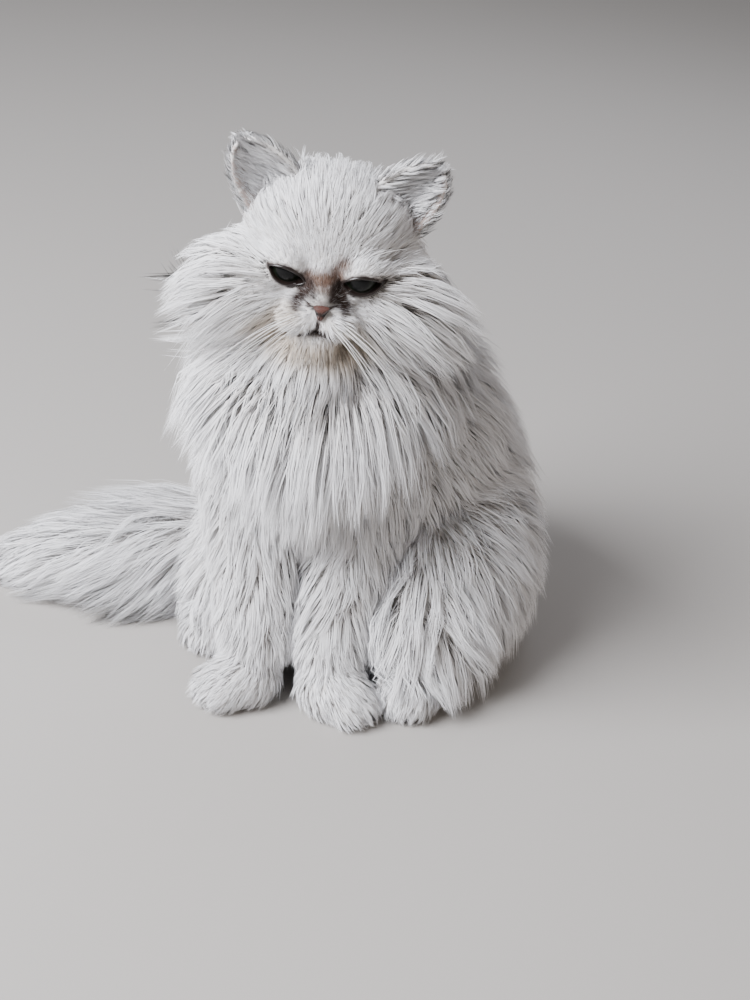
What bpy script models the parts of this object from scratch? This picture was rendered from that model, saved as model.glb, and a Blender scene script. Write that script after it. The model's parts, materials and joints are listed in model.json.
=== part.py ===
"""A long-haired white cat with a flat face, sitting, life size: a still model as a museum shows.

Metres, +Z up. The face looks along -Y and the cat's own left is +X. The origin is on the floor,
under the middle of the whole model's box.

Each part of the body is a core, a rounded form that reaches less than half way through the coat,
with flat, tapered locks fused to it that follow the lie of the hair out to the coat's edge.
A part is cut clear of the parts before it by CLEARANCE, so that they meet face to face.
"""

import math
import random
from collections import namedtuple

import bmesh
import bpy
from mathutils import Matrix, Vector
from mathutils.bvhtree import BVHTree

# Driving dimensions
HEAD_AT = Vector((-0.045, 0.022, 0.311))   # middle of the skull, over the front feet
HEAD_TILT = math.radians(2.5)              # the cat's right ear is the higher one
BODY_AT = Vector((-0.045, -0.010, 0.0))    # floor point midway between the front feet
BODY_TURN = math.radians(22)               # the hindquarters stand off to the cat's left
CORE_SHARE = 0.40                          # how much of the coat's depth the core takes
CLEARANCE = 0.0003                         # gap between touching parts

TOE_SPACING = 0.0088
TOE_SIZE = (0.0066, 0.0105, 0.0095)        # half its width, length and height

# The eyes, in the head's frame
EYE_RADIUS = 0.0110
EYE_AT = Vector((0.0222, -0.0360, 0.0))
LID_SIZE = (0.0146, 0.0134, 0.0134)        # half width, depth and height of the lids' mound
LID_HALF = 0.0126                          # from the middle of the lids' opening to its corner
LID_UPPER = 0.0035                         # from its middle up to the upper lid, and down to the lower
LID_LOWER = 0.0060
LID_DROP = 0.0018                          # the opening's middle is this far under the eyeball's
LID_SLANT = {1: math.radians(6), -1: math.radians(16)}   # outer corners are higher, the right one's most
NOSE_AT = Vector((0.0, -0.0555, -0.0185))
NOSE_SIZE = (0.0122, 0.0080, 0.0088)

# The ears, in the head's frame
EAR_BASE_IN = Vector((0.0175, 0.0080, 0.0380))
EAR_BASE_OUT = Vector((0.0530, 0.0100, 0.0170))
EAR_TIP = Vector((0.0600, -0.0010, 0.0630))
EAR_LOCKS = ((0.05, 0.55), (0.25, 0.30), (0.50, 0.05))   # how far up the front edge, and how they fan
EAR_LOCK_LENGTH = 0.0260
EAR_LOCK_WIDTH = 0.0042
EAR_CUP = 0.0130                           # how deep the cup is
EAR_WALL = 0.0028

# The tail's bones, from the rump round the right haunch to the tip, with the flesh's radius
TAIL = [
    ((0.022, 0.192, 0.046), 0.017),
    ((-0.045, 0.184, 0.042), 0.016),
    ((-0.105, 0.142, 0.040), 0.014),
    ((-0.160, 0.112, 0.036), 0.012),
    ((-0.210, 0.106, 0.029), 0.009),
    ((-0.240, 0.110, 0.021), 0.006),
]

HEAD = Matrix.Translation(HEAD_AT) @ Matrix.Rotation(HEAD_TILT, 4, "Y")
BODY = Matrix.Translation(BODY_AT) @ Matrix.Rotation(-BODY_TURN, 4, "Z")
WORLD = Matrix.Identity(4)
DOWN = Vector((0, 0, -1))
SIDES = {"left": 1, "right": -1}

Fur = namedtuple("Fur", "lie spacing length width rise droop")
Ring = namedtuple("Ring", "centre across out half height")

COLOURS = {
    "fur": ((0.83, 0.83, 0.85), 0.85),
    "ear_skin": ((0.82, 0.76, 0.74), 0.80),
    "nose_leather": ((0.36, 0.20, 0.18), 0.45),
    "eye": ((0.020, 0.028, 0.022), 0.08),
}


def clear_scene():
    for item in list(bpy.data.objects):
        bpy.data.objects.remove(item)


def collection(name, shown=True):
    made = bpy.data.collections.new(name)
    made.hide_render = not shown
    bpy.context.scene.collection.children.link(made)
    return made


def material(name):
    colour, roughness = COLOURS[name]
    made = bpy.data.materials.new(name)
    made.use_nodes = True
    shader = made.node_tree.nodes["Principled BSDF"]
    shader.inputs["Base Color"].default_value = (*colour, 1)
    shader.inputs["Roughness"].default_value = roughness
    made.diffuse_color = (*colour, 1)
    return made


def add_object(name, mesh, group):
    item = bpy.data.objects.new(name, mesh)
    group.objects.link(item)
    return item


def from_bmesh(name, shape):
    bmesh.ops.recalc_face_normals(shape, faces=shape.faces)
    mesh = bpy.data.meshes.new(name)
    shape.to_mesh(mesh)
    shape.free()
    return mesh


def evaluated_mesh(item):
    """The object's mesh with its modifiers applied."""
    bpy.context.view_layer.update()
    graph = bpy.context.evaluated_depsgraph_get()
    return bpy.data.meshes.new_from_object(item.evaluated_get(graph))


def ball(frame, centre, radii, coat=(0, 0, 0), share=0.0, segments=24):
    """A mesh ellipsoid, grown by a share of the coat's depth along each of its axes."""
    size = [r + share * c for r, c in zip(radii, coat)]
    shape = bmesh.new()
    place = frame @ Matrix.Translation(Vector(centre)) @ Matrix.Diagonal((*size, 1))
    rows = segments // 2
    bmesh.ops.create_uvsphere(shape, u_segments=segments, v_segments=rows, radius=1, matrix=place)
    return from_bmesh("ball", shape)


def tube(points, radii, roundness=4):
    """A mesh tube of changing radius through the points, with round ends closed."""
    data = bpy.data.curves.new("tube", "CURVE")
    data.dimensions = "3D"
    data.bevel_depth = 1.0
    data.bevel_resolution = roundness
    data.use_fill_caps = True
    spline = data.splines.new("POLY")
    spline.points.add(len(points) - 1)
    for point, place, radius in zip(spline.points, points, radii):
        point.co = (*place, 1)
        point.radius = radius
    item = add_object("tube", data, GUIDES)
    mesh = evaluated_mesh(item)
    bpy.data.objects.remove(item)
    shape = bmesh.new()
    shape.from_mesh(mesh)
    bmesh.ops.remove_doubles(shape, verts=shape.verts, dist=1e-6)
    return from_bmesh("tube", shape)


def fuse(name, meshes, voxel, smooth, triangles):
    """One closed, smooth mesh round all the given ones, thinned to about that many triangles."""
    shape = bmesh.new()
    for mesh in meshes:
        shape.from_mesh(mesh)
    item = add_object(name, from_bmesh(name, shape), GUIDES)
    remesh = item.modifiers.new("remesh", "REMESH")
    remesh.mode = "VOXEL"
    remesh.voxel_size = voxel
    relax = item.modifiers.new("relax", "SMOOTH")
    relax.factor = 0.5
    relax.iterations = smooth
    whole = evaluated_mesh(item)
    whole.calc_loop_triangles()
    thin = item.modifiers.new("thin", "DECIMATE")
    thin.ratio = min(1.0, triangles / len(whole.loop_triangles))
    thinned = evaluated_mesh(item)
    bpy.data.objects.remove(item)
    return thinned


def tree_of(mesh):
    shape = bmesh.new()
    shape.from_mesh(mesh)
    tree = BVHTree.FromBMesh(shape)
    shape.free()
    return tree


def swollen(mesh, margin):
    """The mesh with its surface moved out by the margin."""
    if not margin:
        return mesh
    shape = bmesh.new()
    shape.from_mesh(mesh)
    shape.normal_update()
    moves = [(vert, vert.normal * margin * vert.calc_shell_factor()) for vert in shape.verts]
    for vert, move in moves:
        vert.co += move
    return from_bmesh(mesh.name, shape)


def boolean(item, operation, group):
    """Joins or cuts the object with every closed mesh of the group, and applies it."""
    step = item.modifiers.new(operation, "BOOLEAN")
    step.operation = operation
    step.operand_type = "COLLECTION"
    step.collection = group
    step.solver = "MANIFOLD"
    mesh = evaluated_mesh(item)
    item.modifiers.remove(step)
    item.data = mesh
    for used in list(group.objects):
        bpy.data.objects.remove(used)
    bpy.data.collections.remove(group)


def boolean_with(item, operation, meshes):
    if not meshes:
        return
    group = collection("operands", shown=False)
    for mesh in meshes:
        add_object("operand", mesh, group)
    boolean(item, operation, group)


def largest_surface(mesh):
    """Only the largest closed surface: loose scraps and sealed hollows go."""
    shape = bmesh.new()
    shape.from_mesh(mesh)
    left = set(shape.verts)
    groups = []
    while left:
        stack = [left.pop()]
        found = set(stack)
        while stack:
            for edge in stack.pop().link_edges:
                for vert in edge.verts:
                    if vert not in found:
                        found.add(vert)
                        left.discard(vert)
                        stack.append(vert)
        groups.append(found)

    def volume(verts):
        faces = {face for vert in verts for face in vert.link_faces}
        total = 0.0
        for face in faces:
            corner = [loop.vert.co for loop in face.loops]
            for a, b in zip(corner[1:], corner[2:]):
                total += corner[0].dot(a.cross(b)) / 6
        return total

    keep = max(groups, key=volume)
    bmesh.ops.delete(shape, geom=[vert for vert in shape.verts if vert not in keep], context="VERTS")
    shape.to_mesh(mesh)
    shape.free()
    return len(groups) - 1


def mirrored(point, side):
    return Vector((point[0] * side, point[1], point[2]))


# The cores

def head_core(share):
    """The skull, cheeks, muzzle, chin, the folds beside the nose and the mounds of the lids."""
    parts = [
        ball(HEAD, (0, 0.004, 0.002), (0.046, 0.045, 0.042), (0.014, 0.012, 0.010), share),
        ball(HEAD, (0, -0.015, 0.015), (0.038, 0.026, 0.025), (0.010, 0.004, 0.010), share),
        ball(HEAD, (0, 0.030, -0.006), (0.040, 0.034, 0.038), (0.030, 0.035, 0.012), share),
        ball(HEAD, (0, -0.044, -0.009), (0.0105, 0.0095, 0.013)),
        ball(HEAD, (0, -0.0395, -0.041), (0.0135, 0.0115, 0.0090), (0.006, 0.004, 0.004), share),
    ]
    for side in SIDES.values():
        parts += [
            ball(HEAD, (side * 0.031, -0.010, -0.020), (0.026, 0.028, 0.025), (0.042, 0.010, 0.020), share),
            ball(HEAD, (side * 0.0095, -0.0455, -0.0280), (0.0130, 0.0110, 0.0095)),
            ball(HEAD, (side * 0.0125, -0.0370, -0.0130), (0.0090, 0.0095, 0.0100)),
            ball(HEAD, mirrored(EYE_AT, side), LID_SIZE),
        ]
    return fuse("head", parts, 0.0024, 3, 1750)


def neck_core(share):
    parts = [
        ball(WORLD, (-0.043, 0.050, 0.252), (0.047, 0.048, 0.046), (0.045, 0.040, 0.010), share),
        ball(WORLD, (-0.043, 0.022, 0.207), (0.047, 0.038, 0.044), (0.058, 0.048, 0.020), share),
    ]
    return fuse("neck", parts, 0.007, 5, 260)


def torso_core(share):
    parts = [
        ball(WORLD, (-0.041, 0.052, 0.165), (0.052, 0.050, 0.072), (0.030, 0.030, 0.020), share),
        ball(BODY, (0, 0.108, 0.155), (0.062, 0.066, 0.078), (0.032, 0.036, 0.030), share),
        ball(BODY, (0, 0.160, 0.092), (0.070, 0.066, 0.080), (0.034, 0.040, 0.034), share),
        ball(BODY, (0, 0.180, 0.052), (0.066, 0.052, 0.058), (0.034, 0.040, 0.030), share),
    ]
    return fuse("torso", parts, 0.008, 6, 340)

FRONT_LEGS = {  # shoulder, elbow, wrist, foot, and the way that the foot points
    "left": ((-0.010, 0.042, 0.150), (-0.013, 0.030, 0.095), (-0.017, 0.004, 0.040),
             (-0.007, -0.019, 0.013), (0.85, -0.52)),
    "right": ((-0.078, 0.042, 0.150), (-0.075, 0.030, 0.095), (-0.072, 0.004, 0.040),
              (-0.082, -0.016, 0.013), (-0.85, -0.52)),
}


def toes(frame, middle, reach, height):
    """Four toes side by side. The inner two reach the furthest forward."""
    found = []
    for across in (-1.5, -0.5, 0.5, 1.5):
        forward = reach + 0.25 * TOE_SPACING * across * across
        found.append(ball(frame, (middle + across * TOE_SPACING, forward, height), TOE_SIZE))
    return found


def front_leg_core(side, share):
    shoulder, elbow, wrist, foot, points = FRONT_LEGS[side]
    coat = 0.022 * share
    parts = [tube((shoulder, elbow, wrist, foot), (0.030 + coat, 0.023 + coat, 0.0175 + coat, 0.015))]
    aim = Matrix.Translation(Vector(foot)) @ Vector((0, -1)).to_3d().rotation_difference(
        Vector((*points, 0))).to_matrix().to_4x4()
    parts.append(ball(aim, (0, -0.002, 0.001), (0.0185, 0.023, 0.0150), (0.006, 0.010, 0.006), share))
    parts += toes(aim, 0, -0.023, -0.002)
    return fuse("front_leg_" + side, parts, 0.0042, 3, 360)


def hind_leg_core(side, share):
    turn = SIDES[side]
    parts = [
        ball(BODY, (turn * 0.060, 0.118, 0.064), (0.038, 0.066, 0.060), (0.040, 0.030, 0.030), share),
        ball(BODY, (turn * 0.066, 0.068, 0.046), (0.030, 0.034, 0.040), (0.026, 0.024, 0.024), share),
        ball(BODY, (turn * 0.074, 0.050, 0.014), (0.0185, 0.034, 0.0150), (0.010, 0.012, 0.006), share),
    ]
    parts += toes(BODY, turn * 0.074, 0.020, 0.011)
    return fuse("hind_leg_" + side, parts, 0.0055, 4, 320)


def tail_core(share):
    plume = [0.030, 0.040, 0.050, 0.055, 0.050, 0.034]
    points = [place for place, _ in TAIL]
    radii = [radius + share * depth for (_, radius), depth in zip(TAIL, plume)]
    low = [(x, y, min(z, 0.85 * r)) for (x, y, z), r in zip(points, radii)]
    return fuse("tail", [tube(low, radii)], 0.006, 5, 190)


# Lids, mouth, nose and ears

def almond_cutter(side):
    """The opening between the lids: two arcs that meet at the corners, run straight back to the eyeball."""
    steps = 5
    outline = []
    for step in range(steps + 1):
        along = -LID_HALF + 2 * LID_HALF * step / steps
        outline.append((along, LID_UPPER * (1 - (along / LID_HALF) ** 2)))
    for step in range(1, steps):
        along = LID_HALF - 2 * LID_HALF * step / steps
        outline.append((along, -LID_LOWER * (1 - (along / LID_HALF) ** 2)))
    turn = Matrix.Rotation(-LID_SLANT[side] * side, 4, "Y")
    place = HEAD @ Matrix.Translation(mirrored(EYE_AT, side) - Vector((0, 0, LID_DROP))) @ turn
    shape = bmesh.new()
    rings = [[shape.verts.new(place @ Vector((x * side, depth, z))) for x, z in outline]
             for depth in (-0.004, -0.030)]
    shape.faces.new(rings[0])
    shape.faces.new(rings[1])
    count = len(outline)
    for i in range(count):
        shape.faces.new((rings[0][i], rings[0][(i + 1) % count], rings[1][(i + 1) % count], rings[1][i]))
    return from_bmesh("almond", shape)


def eyeball(side, margin):
    radius = EYE_RADIUS + margin
    shape = bmesh.new()
    facing = Matrix.Rotation(math.radians(90), 4, "X")
    place = HEAD @ Matrix.Translation(mirrored(EYE_AT, side)) @ facing
    bmesh.ops.create_uvsphere(shape, u_segments=14, v_segments=9, radius=radius, matrix=place)
    return from_bmesh("eye", shape)


def on_face(tree, x, z, depth=0.0):
    """The point of the face at that place of the head's frame, seen from the front, sunk by depth."""
    start = HEAD @ Vector((x, -0.12, z))
    ahead = HEAD.to_3x3() @ Vector((0, 1, 0))
    hit, normal, _, _ = tree.ray_cast(start, ahead)
    return hit - normal * depth


def mouth_cutters(tree):
    """The line under the nose and the two drooping lines of the lips."""
    groove = 0.0011
    lines = [[(0, -0.0235), (0, -0.0290), (0, -0.0345)]]
    for side in SIDES.values():
        droop = ((0, -0.0335), (0.005, -0.0352), (0.011, -0.0385), (0.018, -0.0440))
        lines.append([(side * x, z) for x, z in droop])
    cutters = []
    for line in lines:
        points = [on_face(tree, x, z, 0.0003) for x, z in line]
        radii = [groove] * (len(points) - 1) + [groove * 0.6]
        cutters.append(tube(points, radii, 1))
    return cutters


def nose_leather(margin):
    """A rounded wedge, wide above and narrow below, with its back sunk in the muzzle."""
    width, depth, height = (size / 2 + margin for size in NOSE_SIZE)
    cage = bmesh.new()
    bmesh.ops.create_cube(cage, size=2)
    for vert in cage.verts:
        low = vert.co.z < 0
        vert.co.x *= width * (0.55 if low else 1.25)
        vert.co.y *= depth * 1.2
        vert.co.z *= height * (1.35 if low else 1.0)
    cage.transform(HEAD @ Matrix.Translation(NOSE_AT))
    item = add_object("nose", from_bmesh("nose", cage), GUIDES)
    soften = item.modifiers.new("soften", "SUBSURF")
    soften.levels = soften.render_levels = 2
    mesh = evaluated_mesh(item)
    bpy.data.objects.remove(item)
    return mesh


def nostril_cutters():
    """Comma-shaped pits that open to the front and to the side."""
    cutters = []
    for side in SIDES.values():
        front = HEAD @ (NOSE_AT + Vector((side * 0.0022, -NOSE_SIZE[1] / 2 + 0.0002, -0.0004)))
        back = HEAD @ (NOSE_AT + Vector((side * 0.0056, -NOSE_SIZE[1] / 2 + 0.0030, 0.0008)))
        cutters.append(tube((front, (front + back) / 2, back), (0.0010, 0.0009, 0.0006), 1))
    return cutters


def ear_shell(side, margin):
    """A cupped flap, open to the front and the outside, with its base sunk in the head."""
    across, along = 6, 5
    base_in, base_out, tip = (mirrored(p, side) for p in (EAR_BASE_IN, EAR_BASE_OUT, EAR_TIP))
    middle = (base_in + base_out) / 2
    width = base_out - base_in
    height = tip - middle
    back = width.cross(height).normalized()
    if back.y < 0:
        back = -back
    shape = bmesh.new()
    rows = []
    for j in range(along + 1):
        v = -0.22 + 1.22 * j / along
        spread = math.sqrt(max(0.0, 1 - max(v, 0) ** 2.0))
        row = []
        for i in range(across + 1):
            u = -1 + 2 * i / across
            cup = EAR_CUP * (1 - u * u) * (1 - 0.55 * max(v, 0))
            place = middle + height * v + width * (0.5 * u * spread) + back * (cup - 0.3 * EAR_CUP)
            row.append(shape.verts.new(HEAD @ place))
        rows.append(row)
    for low, high in zip(rows, rows[1:]):
        for i in range(across):
            shape.faces.new((low[i], low[i + 1], high[i + 1], high[i]))
    bmesh.ops.remove_doubles(shape, verts=shape.verts, dist=1e-5)
    item = add_object("ear", from_bmesh("ear", shape), GUIDES)
    wall = item.modifiers.new("wall", "SOLIDIFY")
    wall.thickness = EAR_WALL
    wall.offset = 0
    wall.use_even_offset = True
    mesh = evaluated_mesh(item)
    bpy.data.objects.remove(item)
    return swollen(mesh, margin)


def ear_locks(side):
    """The long hair that grows from the front edge of the cup and sweeps out across its opening."""
    base_in, base_out, tip = (mirrored(p, side) for p in (EAR_BASE_IN, EAR_BASE_OUT, EAR_TIP))
    front = Vector((0, -1, 0))
    locks = []
    for share, fan in EAR_LOCKS:
        root = base_in.lerp(tip, share) + front * 0.001
        heading = (tip.lerp(base_out, fan) - root).normalized()
        across = heading.cross(front).normalized()
        rings = []
        for along, width in LOCK_STATIONS + ((1.0, 0.0),):
            place = root + heading * EAR_LOCK_LENGTH * (along - 0.12) + front * (0.004 * along)
            half = EAR_LOCK_WIDTH * width
            rings.append(Ring(HEAD @ place, HEAD.to_3x3() @ across, HEAD.to_3x3() @ front, half, half * 0.6))
        locks.append(rings)
    return locks


# The lie of the coat. Each function gives the fur at a point of a core, or None where it is short.

def blended(*pairs):
    total = Vector((0, 0, 0))
    for weight, way in pairs:
        total += weight * Vector(way)
    return total.normalized()


def head_fur(point, normal):
    at = HEAD.inverted() @ point
    if at.y < (-0.026 if at.z > 0.026 else -0.014) and abs(at.x) < 0.040:
        return None
    if at.z < -0.046 and abs(at.x) < 0.030:
        return None
    for side in SIDES.values():
        ear_root = (mirrored(EAR_BASE_IN, side) + mirrored(EAR_BASE_OUT, side)) / 2
        if (at - ear_root).length < 0.019:
            return None
    away = (point - HEAD @ NOSE_AT).normalized()
    outward = Vector((math.copysign(1, at.x), 0, 0))
    if at.z > 0.018:
        lie = blended((0.6, away), (0.8, (0, 1, 0.1)))
        return Fur(lie, 0.0240, 0.040, 0.0090, 0.26, 0.2)
    if at.y < 0.022:
        lie = blended((0.5, away), (0.9, outward), (0.60, DOWN), (0.25, (0, 1, 0)))
        return Fur(lie, 0.0198, 0.048 - 0.35 * at.z, 0.0086, 0.48, 0.60)
    lie = blended((0.5, away), (0.5, DOWN), (0.4, (0, 1, 0)))
    return Fur(lie, 0.0260, 0.052, 0.0112, 0.45, 0.5)


def neck_fur(point, normal):
    if point.z > 0.272 and point.y < 0.040:
        return None
    outward = Vector((point.x + 0.043, min(point.y - 0.03, 0.01), 0))
    lie = blended((10, outward), (1.0, DOWN))
    return Fur(lie, 0.0230, 0.070, 0.0100, 0.42, 0.75)


def torso_fur(point, normal):
    at = BODY.inverted() @ point
    if point.z < 0.022 or at.y < 0.0:
        return None
    lie = blended((0.75, DOWN), (0.55, BODY.to_3x3() @ Vector((0, 1, 0))))
    return Fur(lie, 0.0320, 0.064, 0.0138, 0.34, 0.5)


def front_leg_fur(point, normal):
    if point.z < 0.030 or point.z > 0.135:
        return None
    lie = blended((1.0, DOWN), (0.25, (0, 1, 0)))
    return Fur(lie, 0.0240, 0.036, 0.0095, 0.32, 0.5)


def hind_leg_fur(point, normal):
    at = BODY.inverted() @ point
    if point.z < 0.020 or at.y < 0.040:
        return None
    lie = blended((0.8, DOWN), (0.35, BODY.to_3x3() @ Vector((0, 1, 0))))
    return Fur(lie, 0.0270, 0.050, 0.0120, 0.36, 0.5)


def tail_fur(point, normal):
    spots = [Vector(place) for place, _ in TAIL]
    nearest = min(range(len(spots) - 1), key=lambda i: (point - (spots[i] + spots[i + 1]) / 2).length)
    along = (spots[nearest + 1] - spots[nearest]).normalized()
    if point.z < 0.010 or nearest == 0:
        return None
    lie = blended((1.0, along), (0.45, normal))
    return Fur(lie, 0.0240, 0.072, 0.0105, 0.46, 0.30)


def clear_of(point, trees):
    """Whether the point is outside all of the closed surfaces, and a root's depth away from them."""
    for tree in trees:
        spot, out, _, distance = tree.find_nearest(point)
        if distance < LOCK_SINK or (point - spot).dot(out) < 0:
            return False
    return True


def scattered(mesh, fur_at, others, seed, tries=6000):
    """Root points spread evenly over the part of the mesh that carries long hair."""
    draw = random.Random(seed)
    mesh.calc_loop_triangles()
    triangles = mesh.loop_triangles
    areas = [triangle.area for triangle in triangles]
    roots = []
    for triangle in draw.choices(triangles, weights=areas, k=tries):
        a, b, c = (mesh.vertices[i] for i in triangle.vertices)
        u, v = sorted((draw.random(), draw.random()))
        shares = ((u, a), (v - u, b), (1 - v, c))
        point = sum((share * vert.co for share, vert in shares), Vector())
        normal = sum((share * vert.normal for share, vert in shares), Vector()).normalized()
        fur = fur_at(point, normal)
        if not fur or any((point - other).length < fur.spacing for other, _, _ in roots):
            continue
        if clear_of(point, others):
            roots.append((point, normal, fur))
    return roots

LOCK_STATIONS = ((0.0, 0.72), (0.36, 1.0), (0.72, 0.70))   # along, and share of the width
LOCK_SINK = 0.0055
LOCK_FLATNESS = 0.42                       # height over half width
EDGE_MITRE = 5                             # how far the thin edge moves when the faces move by one
TIP_MITRE = 8
SEED = 10                                  # the draw of roots whose locks lie clear of one another
LOCK_TRIES = [(shorter, 0.002 * step) for shorter in (1.0, 0.8, 0.6) for step in range(5)]
CROSSINGS_LET = 14                         # pairs of faces that may cross
LIE_ORDER = ("front_leg_left", "front_leg_right", "hind_leg_left", "hind_leg_right", "tail",
             "torso", "neck", "head")      # each one's coat lies over the coats before it
FLOOR_GAP = 0.0006


def lock_rings(root, normal, fur, own, trees, stretch, side_step, lift):
    """The path of one lock: out of the core, over every core that it passes, down towards its tip."""
    lie = (fur.lie - normal * fur.lie.dot(normal)).normalized()
    length = fur.length * stretch
    here = root.copy()
    last = 0.0
    rings = []
    ends = LOCK_STATIONS + ((1.0, 0.0),)
    for along, share in ends:
        heading = (lie + normal * fur.rise * (1 - 0.5 * along) + DOWN * fur.droop * along
                   + lie.cross(normal) * side_step).normalized()
        here = here + heading * length * (along - last)
        last = along
        up = normal
        for name, tree in trees.items():
            spot, out, _, distance = tree.find_nearest(here, 0.05)
            if spot is None:
                continue
            height = (here - spot).dot(out)
            wanted = fur.rise * 0.5 * length * along if name == own else 0.0035
            if height < wanted and along > 0:
                here = here + out * (wanted - height)
                up = out if name == own else (up + out).normalized()
        half = fur.width * share
        height = max(half * LOCK_FLATNESS, 0.0012)
        across = heading.cross(up).normalized()
        out = across.cross(heading).normalized()
        place = here - normal * LOCK_SINK if along == 0 else here + up * lift
        place.z = max(place.z, FLOOR_GAP + abs(across.z) * half)
        rings.append(Ring(place, across, out, half, height))
        normal = (normal + up).normalized()
    return rings


def crossings(mesh, tree):
    return len(tree.overlap(tree_of(mesh)))


def grown_locks(name, core, fur_at, seed, trees, placed):
    """The locks of one node. The ones furthest along the lie come first, and each next one lies over them.

    A lock that can't pass clear of the locks already there is made shorter, and one that would still cut
    into them deeply is left out.
    """
    draw = random.Random(seed)
    source = HEAD @ NOSE_AT
    cores = [tree for other, tree in trees.items() if other != name]
    roots = scattered(core, fur_at, cores, seed)
    roots.sort(key=lambda root: -(root[0] - source).dot(root[2].lie))
    locks = []
    crossed = 0
    for root in roots:
        stretch = draw.uniform(0.85, 1.12)
        side_step = draw.uniform(-0.10, 0.10)
        there = BVHTree.FromBMesh(placed)
        choices = []
        for shorter, lift in LOCK_TRIES:
            rings = lock_rings(*root, name, trees, stretch * shorter, side_step, lift)
            mesh = lock_mesh(rings, CLEARANCE)
            hits = sum(crossings(mesh, tree) for tree in cores + [there])
            choices.append((hits, len(choices), rings, mesh))
            if choices[-1][0] == 0:
                break
        hits, _, rings, mesh = min(choices, key=lambda choice: choice[:2])
        if hits <= CROSSINGS_LET:
            locks.append(rings)
            placed.from_mesh(mesh)
            crossed += hits > 0
    print(name, len(locks), "locks of", len(roots), "with", crossed, "that cross others")
    return locks


def lock_mesh(rings, margin):
    """A flat, tapered lock with a low ridge, closed at its root and pointed at its tip."""
    shape = bmesh.new()
    loops = []
    start = (rings[0].centre - rings[1].centre).normalized() * margin
    for ring in rings[:-1]:
        centre = ring.centre + start
        start = Vector()
        low = centre - ring.out * margin
        side = ring.across * (ring.half + EDGE_MITRE * margin)
        crest = centre + ring.out * (ring.height + margin)
        loops.append([shape.verts.new(place) for place in (low - side, low + side, crest)])
    heading = (rings[-1].centre - rings[-2].centre).normalized()
    tip = shape.verts.new(rings[-1].centre + margin * (TIP_MITRE * heading - 0.5 * rings[-2].out))
    shape.faces.new(loops[0])
    for low, high in zip(loops, loops[1:]):
        for i in range(3):
            j = (i + 1) % 3
            shape.faces.new((low[i], low[j], high[i]))
            shape.faces.new((low[j], high[j], high[i]))
    for i in range(3):
        shape.faces.new((loops[-1][i], loops[-1][(i + 1) % 3], tip))
    return from_bmesh("lock", shape)


# The nodes, the ones that keep their shape first. Each later one is cut clear of those before it.

def flesh_nodes(share):
    """Name, core, and the lie of its coat, for each part of the body."""
    nodes = {
        "head": (head_core(share), head_fur),
        "neck": (neck_core(share), neck_fur),
        "torso": (torso_core(share), torso_fur),
    }
    for side in SIDES:
        nodes["front_leg_" + side] = (front_leg_core(side, share), front_leg_fur)
    for side in SIDES:
        nodes["hind_leg_" + side] = (hind_leg_core(side, share), hind_leg_fur)
    nodes["tail"] = (tail_core(share), tail_fur)
    return nodes


def floor_cutter():
    shape = bmesh.new()
    bmesh.ops.create_cube(shape, size=1, matrix=Matrix.Translation((0, 0, -0.5)))
    bmesh.ops.scale(shape, verts=shape.verts, vec=(2, 2, 1))
    return from_bmesh("floor", shape)


def joined(pieces):
    """One mesh object from closed pieces that overlap."""
    item = add_object("joined", pieces[0], GUIDES)
    boolean_with(item, "UNION", pieces[1:])
    return item


def apart(item, body):
    return not tree_of(item.data).overlap(tree_of(body))


def cut_clear(item, recipe, body):
    """Cuts the object by the other node's form, swollen by the clearance.

    Where a bent lock still touches, the body itself, swollen, is cut away as well.
    """
    guard = joined(recipe(1.15 * CLEARANCE))
    boolean_with(item, "DIFFERENCE", [guard.data])
    bpy.data.objects.remove(guard)
    for share in (1.0, 2.0, 3.0):
        if apart(item, body):
            return
        boolean_with(item, "DIFFERENCE", [swollen(body, share * CLEARANCE)])


def boxes_meet(a, b, gap=0.001):
    return all(a[0][i] - gap < b[1][i] and b[0][i] - gap < a[1][i] for i in range(3))


def box_of(mesh):
    places = [vert.co for vert in mesh.vertices]
    return [[min(p[i] for p in places) for i in range(3)], [max(p[i] for p in places) for i in range(3)]]


def centre_on_floor(items):
    """Moves the whole model so that the middle of its box is over the origin."""
    boxes = [box_of(item.data) for item in items]
    low = [min(box[0][i] for box in boxes) for i in range(2)]
    high = [max(box[1][i] for box in boxes) for i in range(2)]
    move = Matrix.Translation((-(low[0] + high[0]) / 2, -(low[1] + high[1]) / 2, 0))
    for item in items:
        item.data.transform(move)


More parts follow.
